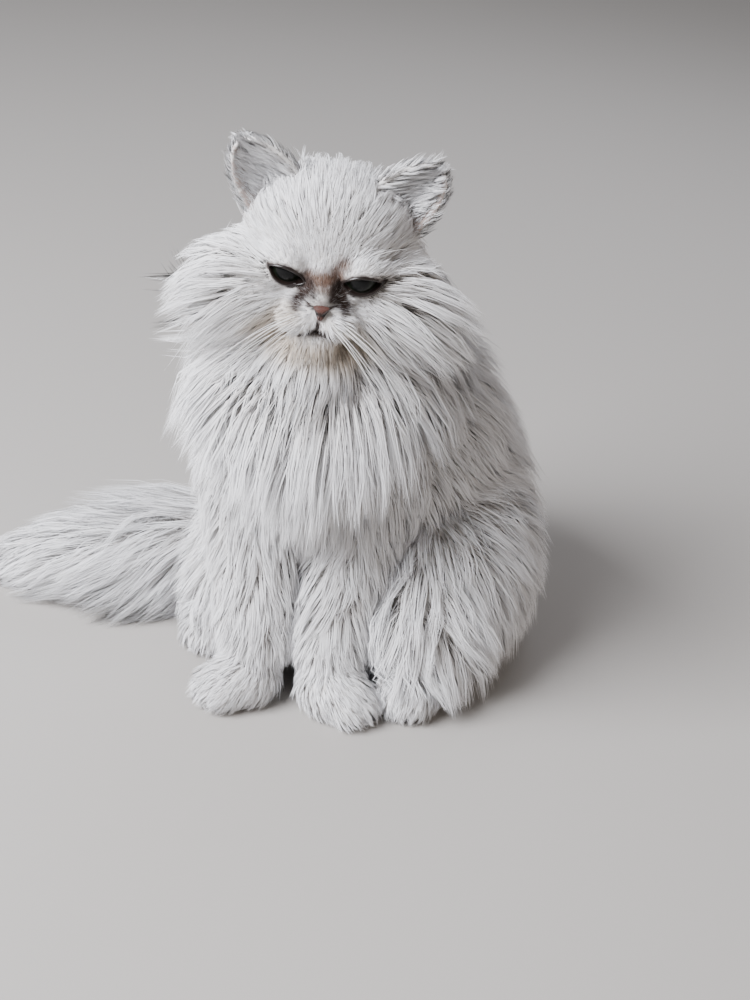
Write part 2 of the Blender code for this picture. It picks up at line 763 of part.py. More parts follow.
def build():
    cat = collection("persian_cat")
    slots = {name: material(name) for name in COLOURS}
    flesh = flesh_nodes(CORE_SHARE)
    trees = {name: tree_of(core) for name, (core, _) in flesh.items()}

    recipes = {}                # name: function of a margin that gives the node's closed pieces
    cuts = {}                   # name: what is cut from that node alone
    finish = {}
    for side, turn in SIDES.items():
        recipes["eye_" + side] = lambda margin, turn=turn: [eyeball(turn, margin)]
        finish["eye_" + side] = "eye"
    recipes["nose"] = lambda margin: [nose_leather(margin)]
    cuts["nose"] = nostril_cutters()
    finish["nose"] = "nose_leather"
    for side, turn in SIDES.items():
        tufts = ear_locks(turn)
        recipes["ear_" + side] = lambda margin, turn=turn, tufts=tufts: (
            [ear_shell(turn, margin)] + [lock_mesh(rings, margin) for rings in tufts])
        finish["ear_" + side] = "ear_skin"
    coat = {}                   # name: the paths of its locks
    placed = bmesh.new()
    for step, name in enumerate(LIE_ORDER):
        coat[name] = grown_locks(name, *flesh[name], SEED + step, trees, placed)
    placed.free()
    for name, (core, _) in flesh.items():
        locks = coat[name]
        recipes[name] = lambda margin, core=core, locks=locks: (
            [swollen(core, margin)] + [lock_mesh(rings, margin) for rings in locks])
        finish[name] = "fur"
    cuts["head"] = [almond_cutter(turn) for turn in SIDES.values()] + mouth_cutters(trees["head"])

    made = []
    for name, recipe in recipes.items():
        item = joined(recipe(0.0))
        box = box_of(item.data)
        for other in made:
            if boxes_meet(box, box_of(other.data)):
                cut_clear(item, recipes[other.name], other.data)
        for cutter in cuts.get(name, []) + [floor_cutter()]:
            boolean_with(item, "DIFFERENCE", [cutter])
        dropped = largest_surface(item.data)
        item.name = item.data.name = name
        item.data.materials.clear()
        item.data.materials.append(slots[finish[name]])
        GUIDES.objects.unlink(item)
        cat.objects.link(item)
        made.append(item)
        item.data.calc_loop_triangles()
        print(name, len(item.data.loop_triangles), "triangles,", dropped, "scraps dropped")
    centre_on_floor(made)


clear_scene()
GUIDES = collection("guides", shown=False)
build()
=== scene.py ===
# %% [markdown]
# A Persian cat is mostly coat. The body under it is small and round, and the outline that we know
# comes from long, fine hair that lies in locks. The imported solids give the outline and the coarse
# locks. This notebook puts one smooth skin inside them and grows a fine coat over it, then adds
# the face: eyes, lids, nose leather, mouth and whiskers.

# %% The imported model
import json
import math
from collections import namedtuple

import bmesh
import bpy
import numpy as np
from mathutils import Matrix, Vector
from mathutils.bvhtree import BVHTree
from mathutils.kdtree import KDTree

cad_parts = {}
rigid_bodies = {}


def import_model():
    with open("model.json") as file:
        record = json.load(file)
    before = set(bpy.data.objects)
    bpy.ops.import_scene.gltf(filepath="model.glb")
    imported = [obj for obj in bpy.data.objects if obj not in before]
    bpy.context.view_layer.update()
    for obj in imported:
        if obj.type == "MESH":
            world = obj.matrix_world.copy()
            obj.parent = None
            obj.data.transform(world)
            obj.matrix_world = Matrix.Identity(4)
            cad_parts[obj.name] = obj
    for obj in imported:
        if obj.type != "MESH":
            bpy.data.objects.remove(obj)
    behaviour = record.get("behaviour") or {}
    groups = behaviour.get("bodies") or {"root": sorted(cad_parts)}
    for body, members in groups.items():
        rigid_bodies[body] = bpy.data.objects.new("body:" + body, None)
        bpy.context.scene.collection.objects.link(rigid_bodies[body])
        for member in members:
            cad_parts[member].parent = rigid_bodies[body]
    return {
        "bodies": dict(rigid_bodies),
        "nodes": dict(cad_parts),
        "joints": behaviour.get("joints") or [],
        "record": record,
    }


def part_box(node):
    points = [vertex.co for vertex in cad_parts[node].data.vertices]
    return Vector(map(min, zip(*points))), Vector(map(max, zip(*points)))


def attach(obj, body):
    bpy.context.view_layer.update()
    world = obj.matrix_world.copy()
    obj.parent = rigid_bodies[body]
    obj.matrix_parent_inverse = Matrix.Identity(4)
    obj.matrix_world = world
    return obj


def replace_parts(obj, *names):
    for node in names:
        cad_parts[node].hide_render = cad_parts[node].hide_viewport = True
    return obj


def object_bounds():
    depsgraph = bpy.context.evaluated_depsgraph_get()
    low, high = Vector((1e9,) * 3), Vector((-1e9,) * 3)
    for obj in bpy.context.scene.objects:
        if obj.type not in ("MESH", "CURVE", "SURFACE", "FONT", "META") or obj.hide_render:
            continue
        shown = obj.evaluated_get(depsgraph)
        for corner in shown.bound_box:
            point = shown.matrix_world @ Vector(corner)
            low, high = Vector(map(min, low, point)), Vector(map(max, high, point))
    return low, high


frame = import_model()
CAD_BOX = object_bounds()
print("solids:", len(frame["nodes"]), "box:", CAD_BOX)

# %% [markdown]
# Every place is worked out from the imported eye, so that the skin and coat sit in the solids
# whatever the model's place on the floor. Three frames carry the sizes: the cat as a whole, its
# tilted head, and its body, which stands turned off to the cat's left behind the front feet.

# %% The three frames
HEAD_AT = Vector((-0.045, 0.022, 0.311))
HEAD_TILT = math.radians(2.5)
BODY_AT = Vector((-0.045, -0.010, 0.0))
BODY_TURN = math.radians(22)
EYE_AT = Vector((0.0222, -0.0360, 0.0))    # the cat's left eye, in the head's frame

tilt = Matrix.Rotation(HEAD_TILT, 4, "Y")
low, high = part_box("eye_left")
CAT = Matrix.Translation((low + high) / 2 - HEAD_AT - tilt @ EYE_AT)
HEAD = CAT @ Matrix.Translation(HEAD_AT) @ tilt
BODY = CAT @ Matrix.Translation(BODY_AT) @ Matrix.Rotation(-BODY_TURN, 4, "Z")
SIDES = {"left": 1, "right": -1}
print("head at", [round(v, 4) for v in HEAD.translation])


def mirrored(point, side):
    return Vector((point[0] * side, point[1], point[2]))


# %% [markdown]
# The photograph looks down on the cat from a little above its head, from close by. A camera on a
# 65 mm lens at the same angle gives the same foreshortening of the feet.

# %% The camera
CAMERA_FROM_CAT = Vector((0, -1.03, 0.70))
CAMERA_DOWN = math.radians(28)
CAMERA_ROLL = math.radians(6.1)
LENS_MM = 64.8

lens = bpy.data.cameras.new("camera")
lens.lens = LENS_MM
camera = bpy.data.objects.new("camera", lens)
camera.matrix_world = (CAT @ Matrix.Translation(CAMERA_FROM_CAT)
                       @ Matrix.Rotation(math.radians(90) - CAMERA_DOWN, 4, "X")
                       @ Matrix.Rotation(CAMERA_ROLL, 4, "Z"))
bpy.context.scene.collection.objects.link(camera)
bpy.context.scene.camera = camera

# %% [markdown]
# Colours are written as the sRGB hex values that a paint program shows. Blender shades in linear
# light, so one function turns them over. One more function adds a node with its settings and
# links, which keeps each material short enough to read.

# %% Colours and nodes


def linear(hex_colour):
    """An sRGB hex colour as linear red, green, blue and alpha."""
    parts = [int(hex_colour[i:i + 2], 16) / 255 for i in (1, 3, 5)]
    return tuple(c / 12.92 if c <= 0.04045 else ((c + 0.055) / 1.055) ** 2.4 for c in parts) + (1.0,)


def add(tree, kind, settings, inputs):
    """Adds a node. An input is a value, or the output of another node that feeds it."""
    node = tree.nodes.new(kind)
    for name, value in settings.items():
        setattr(node, name, value)
    for name, value in inputs.items():
        if isinstance(value, bpy.types.NodeSocket):
            tree.links.new(value, node.inputs[name])
        else:
            node.inputs[name].default_value = value
    return node


def material(name, **shading):
    """A new material with its Principled shader, whose fixed values are set on its own sockets."""
    made = bpy.data.materials.new(name)
    made.use_nodes = True
    shader = made.node_tree.nodes["Principled BSDF"]
    for socket, value in shading.items():
        shader.inputs[socket.replace("_", " ")].default_value = value
    return made, made.node_tree, shader


print("mid grey as linear light:", [round(c, 3) for c in linear("#808080")])

# %% [markdown]
# The floor is one sheet of matt paper, whose short fibres scatter light evenly. It has no gloss, so
# the cat throws a soft shadow on it and no reflection. Soft light comes from a broad lamp on the
# left and in front, as from a window, with a weak warm one opposite that keeps the shaded side
# readable, and a weak one behind that lights the outline.

# %% Floor and light
FLOOR_PAPER = "#AFABA6"
PAPER_FIBRE = 0.0004                       # length of the paper's fibres, drawn twice as coarse to show


def floor_paper():
    made, tree, shader = material("matt_floor_paper", Roughness=0.9)
    place = add(tree, "ShaderNodeTexCoord", {}, {})
    fibre = add(tree, "ShaderNodeTexNoise", {},
                {"Vector": place.outputs["Object"], "Scale": 0.5 / PAPER_FIBRE, "Detail": 2.0})
    tone = add(tree, "ShaderNodeMix", {"data_type": "RGBA"},
               {"Factor": fibre.outputs["Fac"], "A": linear(FLOOR_PAPER), "B": linear("#B4B0AB")})
    tree.links.new(tone.outputs["Result"], shader.inputs["Base Color"])
    return made


floor_mesh = bpy.data.meshes.new("floor")
FLOOR_REACH = 4.0
floor_corners = [(x * FLOOR_REACH, y * FLOOR_REACH, 0) for x, y in ((-1, -1), (1, -1), (1, 1), (-1, 1))]
floor_mesh.from_pydata(floor_corners, [], [(0, 1, 2, 3)])
floor = bpy.data.objects.new("floor", floor_mesh)
floor.data.materials.append(floor_paper())
bpy.context.scene.collection.objects.link(floor)


LIT_POINT = (0, 0.04, 0.20)                # what the lamps face: the middle of the chest


def lamp(name, place, size, power, colour):
    """A square soft lamp that faces the middle of the cat."""
    data = bpy.data.lights.new(name, "AREA")
    data.size = size
    data.energy = power
    data.color = linear(colour)[:3]
    item = bpy.data.objects.new(name, data)
    item.location = CAT @ Vector(place)
    aim = CAT @ Vector(LIT_POINT) - item.location
    item.rotation_euler = aim.to_track_quat("-Z", "Y").to_euler()
    bpy.context.scene.collection.objects.link(item)


lamp("window_light", (-1.35, -0.85, 1.55), 1.3, 138, "#F8F9FF")
lamp("warm_fill", (1.4, -0.5, 0.7), 1.2, 3, "#FFE2C4")
lamp("rim_light", (0.4, 1.4, 1.3), 1.0, 8, "#EEF2FF")
world = bpy.data.worlds.new("studio")
world.use_nodes = True
sky = world.node_tree.nodes["Background"].inputs
sky["Color"].default_value = linear("#CBCBCE")
sky["Strength"].default_value = 0.40
bpy.context.scene.world = world

# %% [markdown]
# The body under the coat is a handful of rounded masses: skull, cheeks, muzzle, chin, neck, chest,
# belly, haunches and paws. Each is an ellipsoid with its place and half sizes in metres, and each
# names the part of the coat that it carries, with the depth of the hair over it. A dense undercoat
# fills the first 28 % of that depth, so the skin is drawn there, just inside the solids' cores.

# %% The masses of the body
Lump = namedtuple("Lump", "part frame centre radii")
UNDERCOAT = 0.28                           # share of the coat's depth that the undercoat fills
LID_SIZE = (0.0146, 0.0134, 0.0134)        # half width, depth and height of the lids' mound
NOSE_AT = Vector((0.0019, -0.0550, -0.0194))   # in the head's frame, a little to the cat's left


def lump(part, frame, centre, radii, coat=(0, 0, 0)):
    return Lump(part, frame, centre, tuple(r + UNDERCOAT * c for r, c in zip(radii, coat)))


LUMPS = [
    lump("head", HEAD, (0, 0.004, 0.002), (0.046, 0.045, 0.042), (0.014, 0.012, 0.010)),
    lump("head", HEAD, (0, -0.015, 0.015), (0.038, 0.026, 0.025), (0.010, 0.004, 0.010)),
    lump("head", HEAD, (0, 0.030, -0.006), (0.040, 0.034, 0.038), (0.030, 0.035, 0.012)),
    lump("head", HEAD, (0, -0.044, -0.009), (0.0105, 0.0095, 0.013)),
    lump("head", HEAD, (0, -0.0395, -0.041), (0.0135, 0.0115, 0.0090), (0.006, 0.004, 0.004)),
    lump("neck", CAT, (-0.043, 0.050, 0.252), (0.047, 0.048, 0.046), (0.045, 0.040, 0.010)),
    lump("neck", HEAD, (0, -0.028, -0.062), (0.026, 0.020, 0.019)),
    lump("neck", CAT, (-0.043, 0.022, 0.207), (0.047, 0.038, 0.044), (0.058, 0.048, 0.020)),
    lump("torso", CAT, (-0.041, 0.052, 0.165), (0.052, 0.050, 0.072), (0.030, 0.030, 0.020)),
    lump("torso", BODY, (0, 0.108, 0.155), (0.062, 0.066, 0.078), (0.032, 0.036, 0.030)),
    lump("torso", BODY, (0, 0.160, 0.092), (0.070, 0.066, 0.080), (0.034, 0.040, 0.034)),
    lump("torso", BODY, (0, 0.180, 0.052), (0.066, 0.052, 0.058), (0.034, 0.040, 0.030)),
]
for side in SIDES.values():
    LUMPS += [
        lump("head", HEAD, (side * 0.031, -0.010, -0.020), (0.026, 0.028, 0.025), (0.042, 0.010, 0.020)),
        lump("head", HEAD, (side * 0.0095, -0.0455, -0.0280), (0.0130, 0.0110, 0.0095)),
        lump("head", HEAD, (side * 0.0125, -0.0370, -0.0130), (0.0090, 0.0095, 0.0100)),
        lump("head", HEAD, mirrored(EYE_AT, side), LID_SIZE),
        lump("hind_leg", BODY, (side * 0.060, 0.118, 0.064), (0.038, 0.066, 0.060), (0.040, 0.030, 0.030)),
        lump("hind_leg", BODY, (side * 0.066, 0.068, 0.046), (0.030, 0.034, 0.040), (0.026, 0.024, 0.024)),
        lump("hind_foot", BODY, (side * 0.074, 0.050, 0.014), (0.0185, 0.034, 0.0150), (0.010, 0.012, 0.006)),
    ]
print(len(LUMPS), "rounded masses")

# %% [markdown]
# Each paw shows four rounded toes side by side, with the middle two furthest forward. The front
# legs and the tail are tubes along their bones, thick at the root and thin at the end.

# %% Paws, legs and tail
Limb = namedtuple("Limb", "part points radii")
TOE_SPACING = 0.0088
TOE_SIZE = (0.0066, 0.0105, 0.0095)        # half its width, length and height


def toes(part, frame, middle, reach, height):
    """Four toes side by side. The outer two sit further back."""
    found = []
    for across in (-1.5, -0.5, 0.5, 1.5):
        forward = reach + 0.25 * TOE_SPACING * across * across
        found.append(lump(part, frame, (middle + across * TOE_SPACING, forward, height), TOE_SIZE))
    return found


# each front leg's shoulder, elbow, wrist and foot, and the way that the foot points
FRONT_LEGS = [
    ((-0.010, 0.042, 0.150), (-0.013, 0.030, 0.095), (-0.022, 0.004, 0.040), (-0.016, -0.019, 0.013),
     (0.88, -0.47)),
    ((-0.078, 0.042, 0.150), (-0.075, 0.030, 0.095), (-0.069, 0.004, 0.040), (-0.075, -0.016, 0.013),
     (-0.88, -0.47)),
]
TAIL = [((0.022, 0.192, 0.046), 0.017), ((-0.045, 0.184, 0.042), 0.016), ((-0.105, 0.142, 0.040), 0.014),
        ((-0.160, 0.112, 0.036), 0.012), ((-0.210, 0.106, 0.029), 0.009), ((-0.240, 0.110, 0.021), 0.006)]
PLUME = (0.030, 0.040, 0.050, 0.055, 0.050, 0.034)   # depth of the tail's hair at each bone
TAIL_RADII = [radius + UNDERCOAT * depth for (_, radius), depth in zip(TAIL, PLUME)]
TAIL_POINTS = [CAT @ Vector((x, y, min(z, 0.95 * r))) for ((x, y, z), _), r in zip(TAIL, TAIL_RADII)]
LEG_COAT = 0.022
LEG_RADII = (0.030, 0.023, 0.0175)         # at shoulder, elbow and wrist, without the undercoat
ANKLE_RADIUS = 0.015
LIMBS = [Limb("tail", TAIL_POINTS, TAIL_RADII)]
for *bones, points in FRONT_LEGS:
    LIMBS.append(Limb("front_leg", [CAT @ Vector(p) for p in bones],
                      [r + UNDERCOAT * LEG_COAT for r in LEG_RADII] + [ANKLE_RADIUS]))
    turn = Vector((0, -1, 0)).rotation_difference(Vector((*points, 0))).to_matrix().to_4x4()
    foot = CAT @ Matrix.Translation(bones[-1]) @ turn
    LUMPS.append(lump("front_foot", foot, (0, -0.002, 0.001), (0.0185, 0.023, 0.0150),
                      (0.006, 0.010, 0.006)))
    LUMPS += toes("front_foot", foot, 0, -0.023, -0.002)
for side in SIDES.values():
    LUMPS += toes("hind_foot", BODY, side * 0.074, 0.020, 0.011)
print(len(LUMPS), "masses and", len(LIMBS), "limbs")


# %% [markdown]
# The ears are small, wide apart and cupped, open to the front and the outside. Each is a curved
# sheet with a wall, so that it has a real inside for the long hair to grow out of.

# %% Ear shells
EAR_BASE_IN = Vector((0.0175, 0.0080, 0.0380))
EAR_BASE_OUT = Vector((0.0530, 0.0100, 0.0170))
EAR_TIP = Vector((0.0600, -0.0010, 0.0630))
EAR_CUP = 0.0130
EAR_WALL = 0.0034
EAR_STEPS = 20
EAR_ROOT, EAR_RISE = -0.22, 1.20           # the sheet starts below the skin and ends just under the tip
CUP_FADE = 0.55                            # how much shallower the cup is at the tip


def ear_corners(side):
    """Both ends of the ear's base, its tip, and the way that its back faces, in the head's frame."""
    base_in, base_out, tip = (mirrored(p, side) for p in (EAR_BASE_IN, EAR_BASE_OUT, EAR_TIP))
    back = (base_out - base_in).cross(tip - (base_in + base_out) / 2).normalized()
    return base_in, base_out, tip, back if back.y > 0 else -back


def ear_sheet(side):
    """The ear's curved sheet as a grid of points in the head's frame."""
    base_in, base_out, tip, back = ear_corners(side)
    middle = (base_in + base_out) / 2
    rows = []
    for j in range(EAR_STEPS + 1):
        v = EAR_ROOT + EAR_RISE * j / EAR_STEPS
        spread = math.sqrt(max(0.0, 1 - max(v, 0) ** 2))
        row = []
        for i in range(EAR_STEPS + 1):
            u = -1 + 2 * i / EAR_STEPS
            cup = EAR_CUP * (1 - u * u) * (1 - CUP_FADE * max(v, 0))
            row.append(middle + (tip - middle) * v + (base_out - base_in) * (0.5 * u * spread)
                       + back * (cup - 0.3 * EAR_CUP))
        rows.append(row)
    return rows


def from_bmesh(name, shape):
    """The finished shape as a mesh. The shape is freed."""
    mesh = bpy.data.meshes.new(name)
    shape.to_mesh(mesh)
    shape.free()
    return mesh


def shown(name, mesh):
    item = bpy.data.objects.new(name, mesh)
    bpy.context.scene.collection.objects.link(item)
    return item


def applied(item):
    """The object's mesh with its modifiers applied. The object is removed."""
    bpy.context.view_layer.update()
    mesh = bpy.data.meshes.new_from_object(item.evaluated_get(bpy.context.evaluated_depsgraph_get()))
    bpy.data.objects.remove(item)
    return mesh


def ear_shell(side):
    """The ear's sheet with its wall, as a mesh."""
    shape = bmesh.new()
    rows = [[shape.verts.new(HEAD @ place) for place in row] for row in ear_sheet(side)]
    for lower, upper in zip(rows, rows[1:]):
        for i in range(EAR_STEPS):
            shape.faces.new((lower[i], lower[i + 1], upper[i + 1], upper[i]))
    bmesh.ops.recalc_face_normals(shape, faces=shape.faces)
    item = shown("ear_shell", from_bmesh("ear_shell", shape))
    wall = item.modifiers.new("wall", "SOLIDIFY")
    wall.thickness = EAR_WALL
    wall.offset = 0
    return applied(item)


ear_height = (EAR_TIP - (EAR_BASE_IN + EAR_BASE_OUT) / 2).length
print("ears:", round(ear_height * 1000), "mm high")

# %% [markdown]
# All these forms become one skin, with no seam anywhere. A voxel remesh wraps them in one closed
# surface, as clay over an armature, and a few rounds of smoothing melt the joints between them.
# The voxels are small enough to keep the thin wall of the ears.

# %% One skin
SKIN_VOXEL = 0.0017
SKIN_FACES = 90000                         # triangles to keep, two for each face of the wrap
MELT_ROUNDS = 3
SKIN_FLOOR = 0.0004                        # the skin stops this far over the floor


def lump_mesh(lump):
    """One mass as a mesh ball."""
    shape = bmesh.new()
    place = lump.frame @ Matrix.Translation(Vector(lump.centre)) @ Matrix.Diagonal((*lump.radii, 1))
    bmesh.ops.create_uvsphere(shape, u_segments=40, v_segments=24, radius=1, matrix=place)
    return from_bmesh("lump", shape)


def tube(points, radii, sides=10, name="tube"):
    """A closed mesh tube of changing radius through the points, round in section."""
    points = [Vector(p) for p in points]
    shape = bmesh.new()
    rings = []
    guide = Vector((0.3, 0.2, 1)).normalized()
    for i, (place, radius) in enumerate(zip(points, radii)):
        heading = (points[min(i + 1, len(points) - 1)] - points[max(i - 1, 0)]).normalized()
        across = heading.cross(guide).normalized()
        up = across.cross(heading)
        turns = [2 * math.pi * k / sides for k in range(sides)]
        rings.append([shape.verts.new(place + radius * (across * math.cos(a) + up * math.sin(a)))
                      for a in turns])
    for lower, upper in zip(rings, rings[1:]):
        for i in range(sides):
            j = (i + 1) % sides
            shape.faces.new((lower[i], lower[j], upper[j], upper[i]))
    shape.faces.new(rings[0][::-1])
    shape.faces.new(rings[-1])
    bmesh.ops.recalc_face_normals(shape, faces=shape.faces)
    return from_bmesh(name, shape)


def limb_meshes(limb):
    """The limb's tube, with a ball at each joint to round it."""
    meshes = [tube(limb.points, limb.radii, 24)]
    for place, radius in zip(limb.points, limb.radii):
        meshes.append(lump_mesh(Lump(limb.part, Matrix.Translation(place), (0, 0, 0), (radius,) * 3)))
    return meshes


def one_skin():
    """All masses, limbs and ears wrapped in one closed surface."""
    shape = bmesh.new()
    for mesh in [lump_mesh(lump) for lump in LUMPS] + [m for limb in LIMBS for m in limb_meshes(limb)]:
        shape.from_mesh(mesh)
    for side in SIDES.values():
        shape.from_mesh(ear_shell(side))
    item = shown("skin", from_bmesh("skin", shape))
    wrap = item.modifiers.new("wrap", "REMESH")
    wrap.mode = "VOXEL"
    wrap.voxel_size = SKIN_VOXEL
    melt = item.modifiers.new("melt", "SMOOTH")
    melt.factor = 0.5
    melt.iterations = MELT_ROUNDS
    whole = applied(item)
    item = shown("skin", whole)
    thin = item.modifiers.new("thin", "DECIMATE")
    thin.ratio = SKIN_FACES / (2 * len(whole.polygons))
    return applied(item)


skin_mesh = one_skin()
for vert in skin_mesh.vertices:
    vert.co.z = max(vert.co.z, SKIN_FLOOR)
print("skin:", len(skin_mesh.polygons), "faces")

# %% [markdown]
# The lids open as an almond that slants up and outwards. The skin is cut back to that outline, and
# a dark, wet rim runs round it. The outline is two arcs: the upper one is flatter, which gives a
# Persian its sleepy look.

# %% The opening of the lids
EYE_RADIUS = 0.0110
Lids = namedtuple("Lids", "half upper lower out slant")
# half the opening's length, its heights over and under the corners, how far out it sits, and its slant
LIDS = {
    1: Lids(0.0122, 0.0047, 0.0068, 0.0018, math.radians(5)),
    -1: Lids(0.0115, 0.0040, 0.0062, -0.0006, math.radians(17)),
}
LID_DROP = 0.0018                          # the opening's middle is this far under the eyeball's
ARC_STEPS = 14
CUT_FROM, CUT_TO = -0.003, -0.030          # the cutting block's back and front in the eye's frame


def eye_frame(side):
    """x from the nose outwards along the lids, -y ahead, with its origin behind the opening's middle."""
    turn = Matrix.Rotation(-LIDS[side].slant * side, 4, "Y") @ Matrix.Diagonal((side, 1, 1, 1))
    middle = mirrored(EYE_AT + Vector((LIDS[side].out, 0, -LID_DROP)), side)
    return HEAD @ Matrix.Translation(middle) @ turn


def lid_outline(side, grow=0.0):
    """The opening's outline as x and z pairs in the eye's frame."""
    half = LIDS[side].half + grow
    points = []
    for step in range(2 * ARC_STEPS):
        share = step / ARC_STEPS
        upper = share <= 1
        x = half * (2 * share - 1) if upper else half * (3 - 2 * share)
        arc = 1 - (x / half) ** 2
        points.append((x, (LIDS[side].upper + grow) * arc if upper else -(LIDS[side].lower + grow) * arc))
    return points


def almond(side):
    """A closed block with the opening's outline, to cut the skin with."""
    shape = bmesh.new()
    place = eye_frame(side)
    rings = [[shape.verts.new(place @ Vector((x, y, z))) for x, z in lid_outline(side)]
             for y in (CUT_FROM, CUT_TO)]
    count = len(rings[0])
    shape.faces.new(rings[0])
    shape.faces.new(rings[1][::-1])
    for i in range(count):
        j = (i + 1) % count
        shape.faces.new((rings[0][j], rings[0][i], rings[1][i], rings[1][j]))
    bmesh.ops.recalc_face_normals(shape, faces=shape.faces)
    return shown("almond", from_bmesh("almond", shape))


def cut_lids(mesh):
    """The skin with both openings cut out of it."""
    item = shown("skin", mesh)
    cutters = [almond(side) for side in SIDES.values()]
    for cutter in cutters:
        step = item.modifiers.new("cut", "BOOLEAN")
        step.operation = "DIFFERENCE"
        step.solver = "MANIFOLD"
        step.object = cutter
    cut = applied(item)
    for cutter in cutters:
        bpy.data.objects.remove(cutter)
    return cut


skin_mesh = cut_lids(skin_mesh)
skin_mesh.name = "skin"
skin = shown("skin", skin_mesh)
print("skin after the lids:", len(skin_mesh.polygons), "faces")

# %% [markdown]
# Every piece's colours can be painted onto a flat picture, so each point needs its own place
# there. The skin is unwrapped by the angle of its faces, and the coat takes its places from the
# skin under it.

# %% The unwrap
UNWRAP_ANGLE = math.radians(66)


def unwrap(item):
    """Gives the piece its OFBake map."""
    bpy.context.view_layer.objects.active = item
    item.select_set(True)
    item.data.uv_layers.new(name="OFBake")
    bpy.ops.object.mode_set(mode="EDIT")
    bpy.ops.mesh.select_all(action="SELECT")
    bpy.ops.uv.smart_project(angle_limit=UNWRAP_ANGLE, island_margin=0.002)
    bpy.ops.object.mode_set(mode="OBJECT")
    item.select_set(False)


unwrap(skin)
skin_mesh.calc_loop_triangles()


def read(items, name, kind, width):
    """One property of many mesh elements as an array."""
    found = np.empty(len(items) * width, kind)
    items.foreach_get(name, found)
    return found.reshape(-1, width) if width > 1 else found


SKIN_POINTS = read(skin_mesh.vertices, "co", np.float32, 3).astype(float)
SKIN_NORMALS = read(skin_mesh.vertices, "normal", np.float32, 3).astype(float)
SKIN_TRIS = read(skin_mesh.loop_triangles, "vertices", np.int32, 3)
SKIN_LOOPS = read(skin_mesh.loop_triangles, "loops", np.int32, 3)
SKIN_UVS = read(skin_mesh.uv_layers["OFBake"].uv, "vector", np.float32, 2)
SKIN_TREE = BVHTree.FromPolygons([tuple(p) for p in SKIN_POINTS], [tuple(t) for t in SKIN_TRIS])
print("skin triangles:", len(SKIN_TRIS))

# %% [markdown]
# A coat changes smoothly from one part of the body to the next. To know how much each part has to
# say at a point, its distance from each mass is turned into a share: the nearest counts most, and
# others fade out over a centimetre.

# %% Which part of the body a point is on


def moved(matrix, points):
    """Many points through one matrix."""
    m = np.array(matrix)
    return points @ m[:3, :3].T + m[:3, 3]


def turned(matrix, ways):
    """Many directions through one matrix."""
    return ways @ np.array(matrix)[:3, :3].T


def unit(ways):
    """The directions with a length of one."""
    return ways / np.maximum(np.linalg.norm(ways, axis=-1, keepdims=True), 1e-9)


def column(values):
    """One value for each point, shaped to multiply its three coordinates."""
    return values[:, None]


def ramp(values, low, high):
    """0 below low, 1 above high, with a smooth rise between. High may be the lower one."""
    share = np.clip((values - low) / (high - low), 0, 1)
    return share * share * (3 - 2 * share)


def from_lump(lump, points):
    """About how far each point is outside the mass."""
    local = moved(lump.frame.inverted(), points) - np.array(lump.centre)
    near = np.linalg.norm(local / lump.radii, axis=1)
    steep = np.linalg.norm(local / np.square(lump.radii), axis=1)
    return near * (near - 1) / np.maximum(steep, 1e-9)


def from_limb(limb, points):
    """How far each point is outside the limb's tube."""
    nearest = np.full(len(points), np.inf)
    for a, b, ra, rb in zip(limb.points, limb.points[1:], limb.radii, limb.radii[1:]):
        a, b = np.array(a), np.array(b)
        share = np.clip(((points - a) @ (b - a)) / ((b - a) @ (b - a)), 0, 1)
        gap = np.linalg.norm(points - a - column(share) * (b - a), axis=1) - ra - share * (rb - ra)
        nearest = np.minimum(nearest, gap)
    return nearest


def from_line(places, line):
    """Distance of each place from a line of straight pieces, all in one plane or all in space."""
    nearest = np.full(len(places), np.inf)
    for a, b in zip(np.array(line)[:-1], np.array(line)[1:]):
        share = np.clip(((places - a) @ (b - a)) / ((b - a) @ (b - a)), 0, 1)
        nearest = np.minimum(nearest, np.linalg.norm(places - a - column(share) * (b - a), axis=1))
    return nearest


def tree_of(places):
    """A tree that finds the nearest of the places quickly."""
    tree = KDTree(len(places))
    for i, place in enumerate(places):
        tree.insert(place, i)
    tree.balance()
    return tree


EAR_SHEETS = {side: [HEAD @ p for row in ear_sheet(side) for p in row] for side in SIDES.values()}
EAR_TREES = {side: tree_of(sheet) for side, sheet in EAR_SHEETS.items()}
EarPlace = namedtuple("EarPlace", "gap behind across up")


def ear_place(points, side):
    """Distance from that ear, whether it is its back, and the place across (-1 to 1) and up (0 to 1)."""
    found = [EAR_TREES[side].find(p) for p in points]
    spots = np.array([f[0] for f in found])
    index = np.array([f[1] for f in found])
    back = np.array(HEAD.to_3x3() @ ear_corners(side)[3])
    wide = EAR_STEPS + 1
    return EarPlace(np.array([f[2] for f in found]) - EAR_WALL / 2, (points - spots) @ back > 0,
                    -1 + 2 * (index % wide) / EAR_STEPS, EAR_ROOT + EAR_RISE * (index // wide) / EAR_STEPS)


BLEND = 0.008                              # distance over which one part fades into the next
EAR_EDGE = 0.0018                          # what is this near the ear's wall belongs to the ear
DEEPEST = -0.03                            # a point counts as no deeper inside a mass than this
PARTS = ["head", "neck", "torso", "front_leg", "front_foot", "hind_leg", "hind_foot", "tail", "ear"]


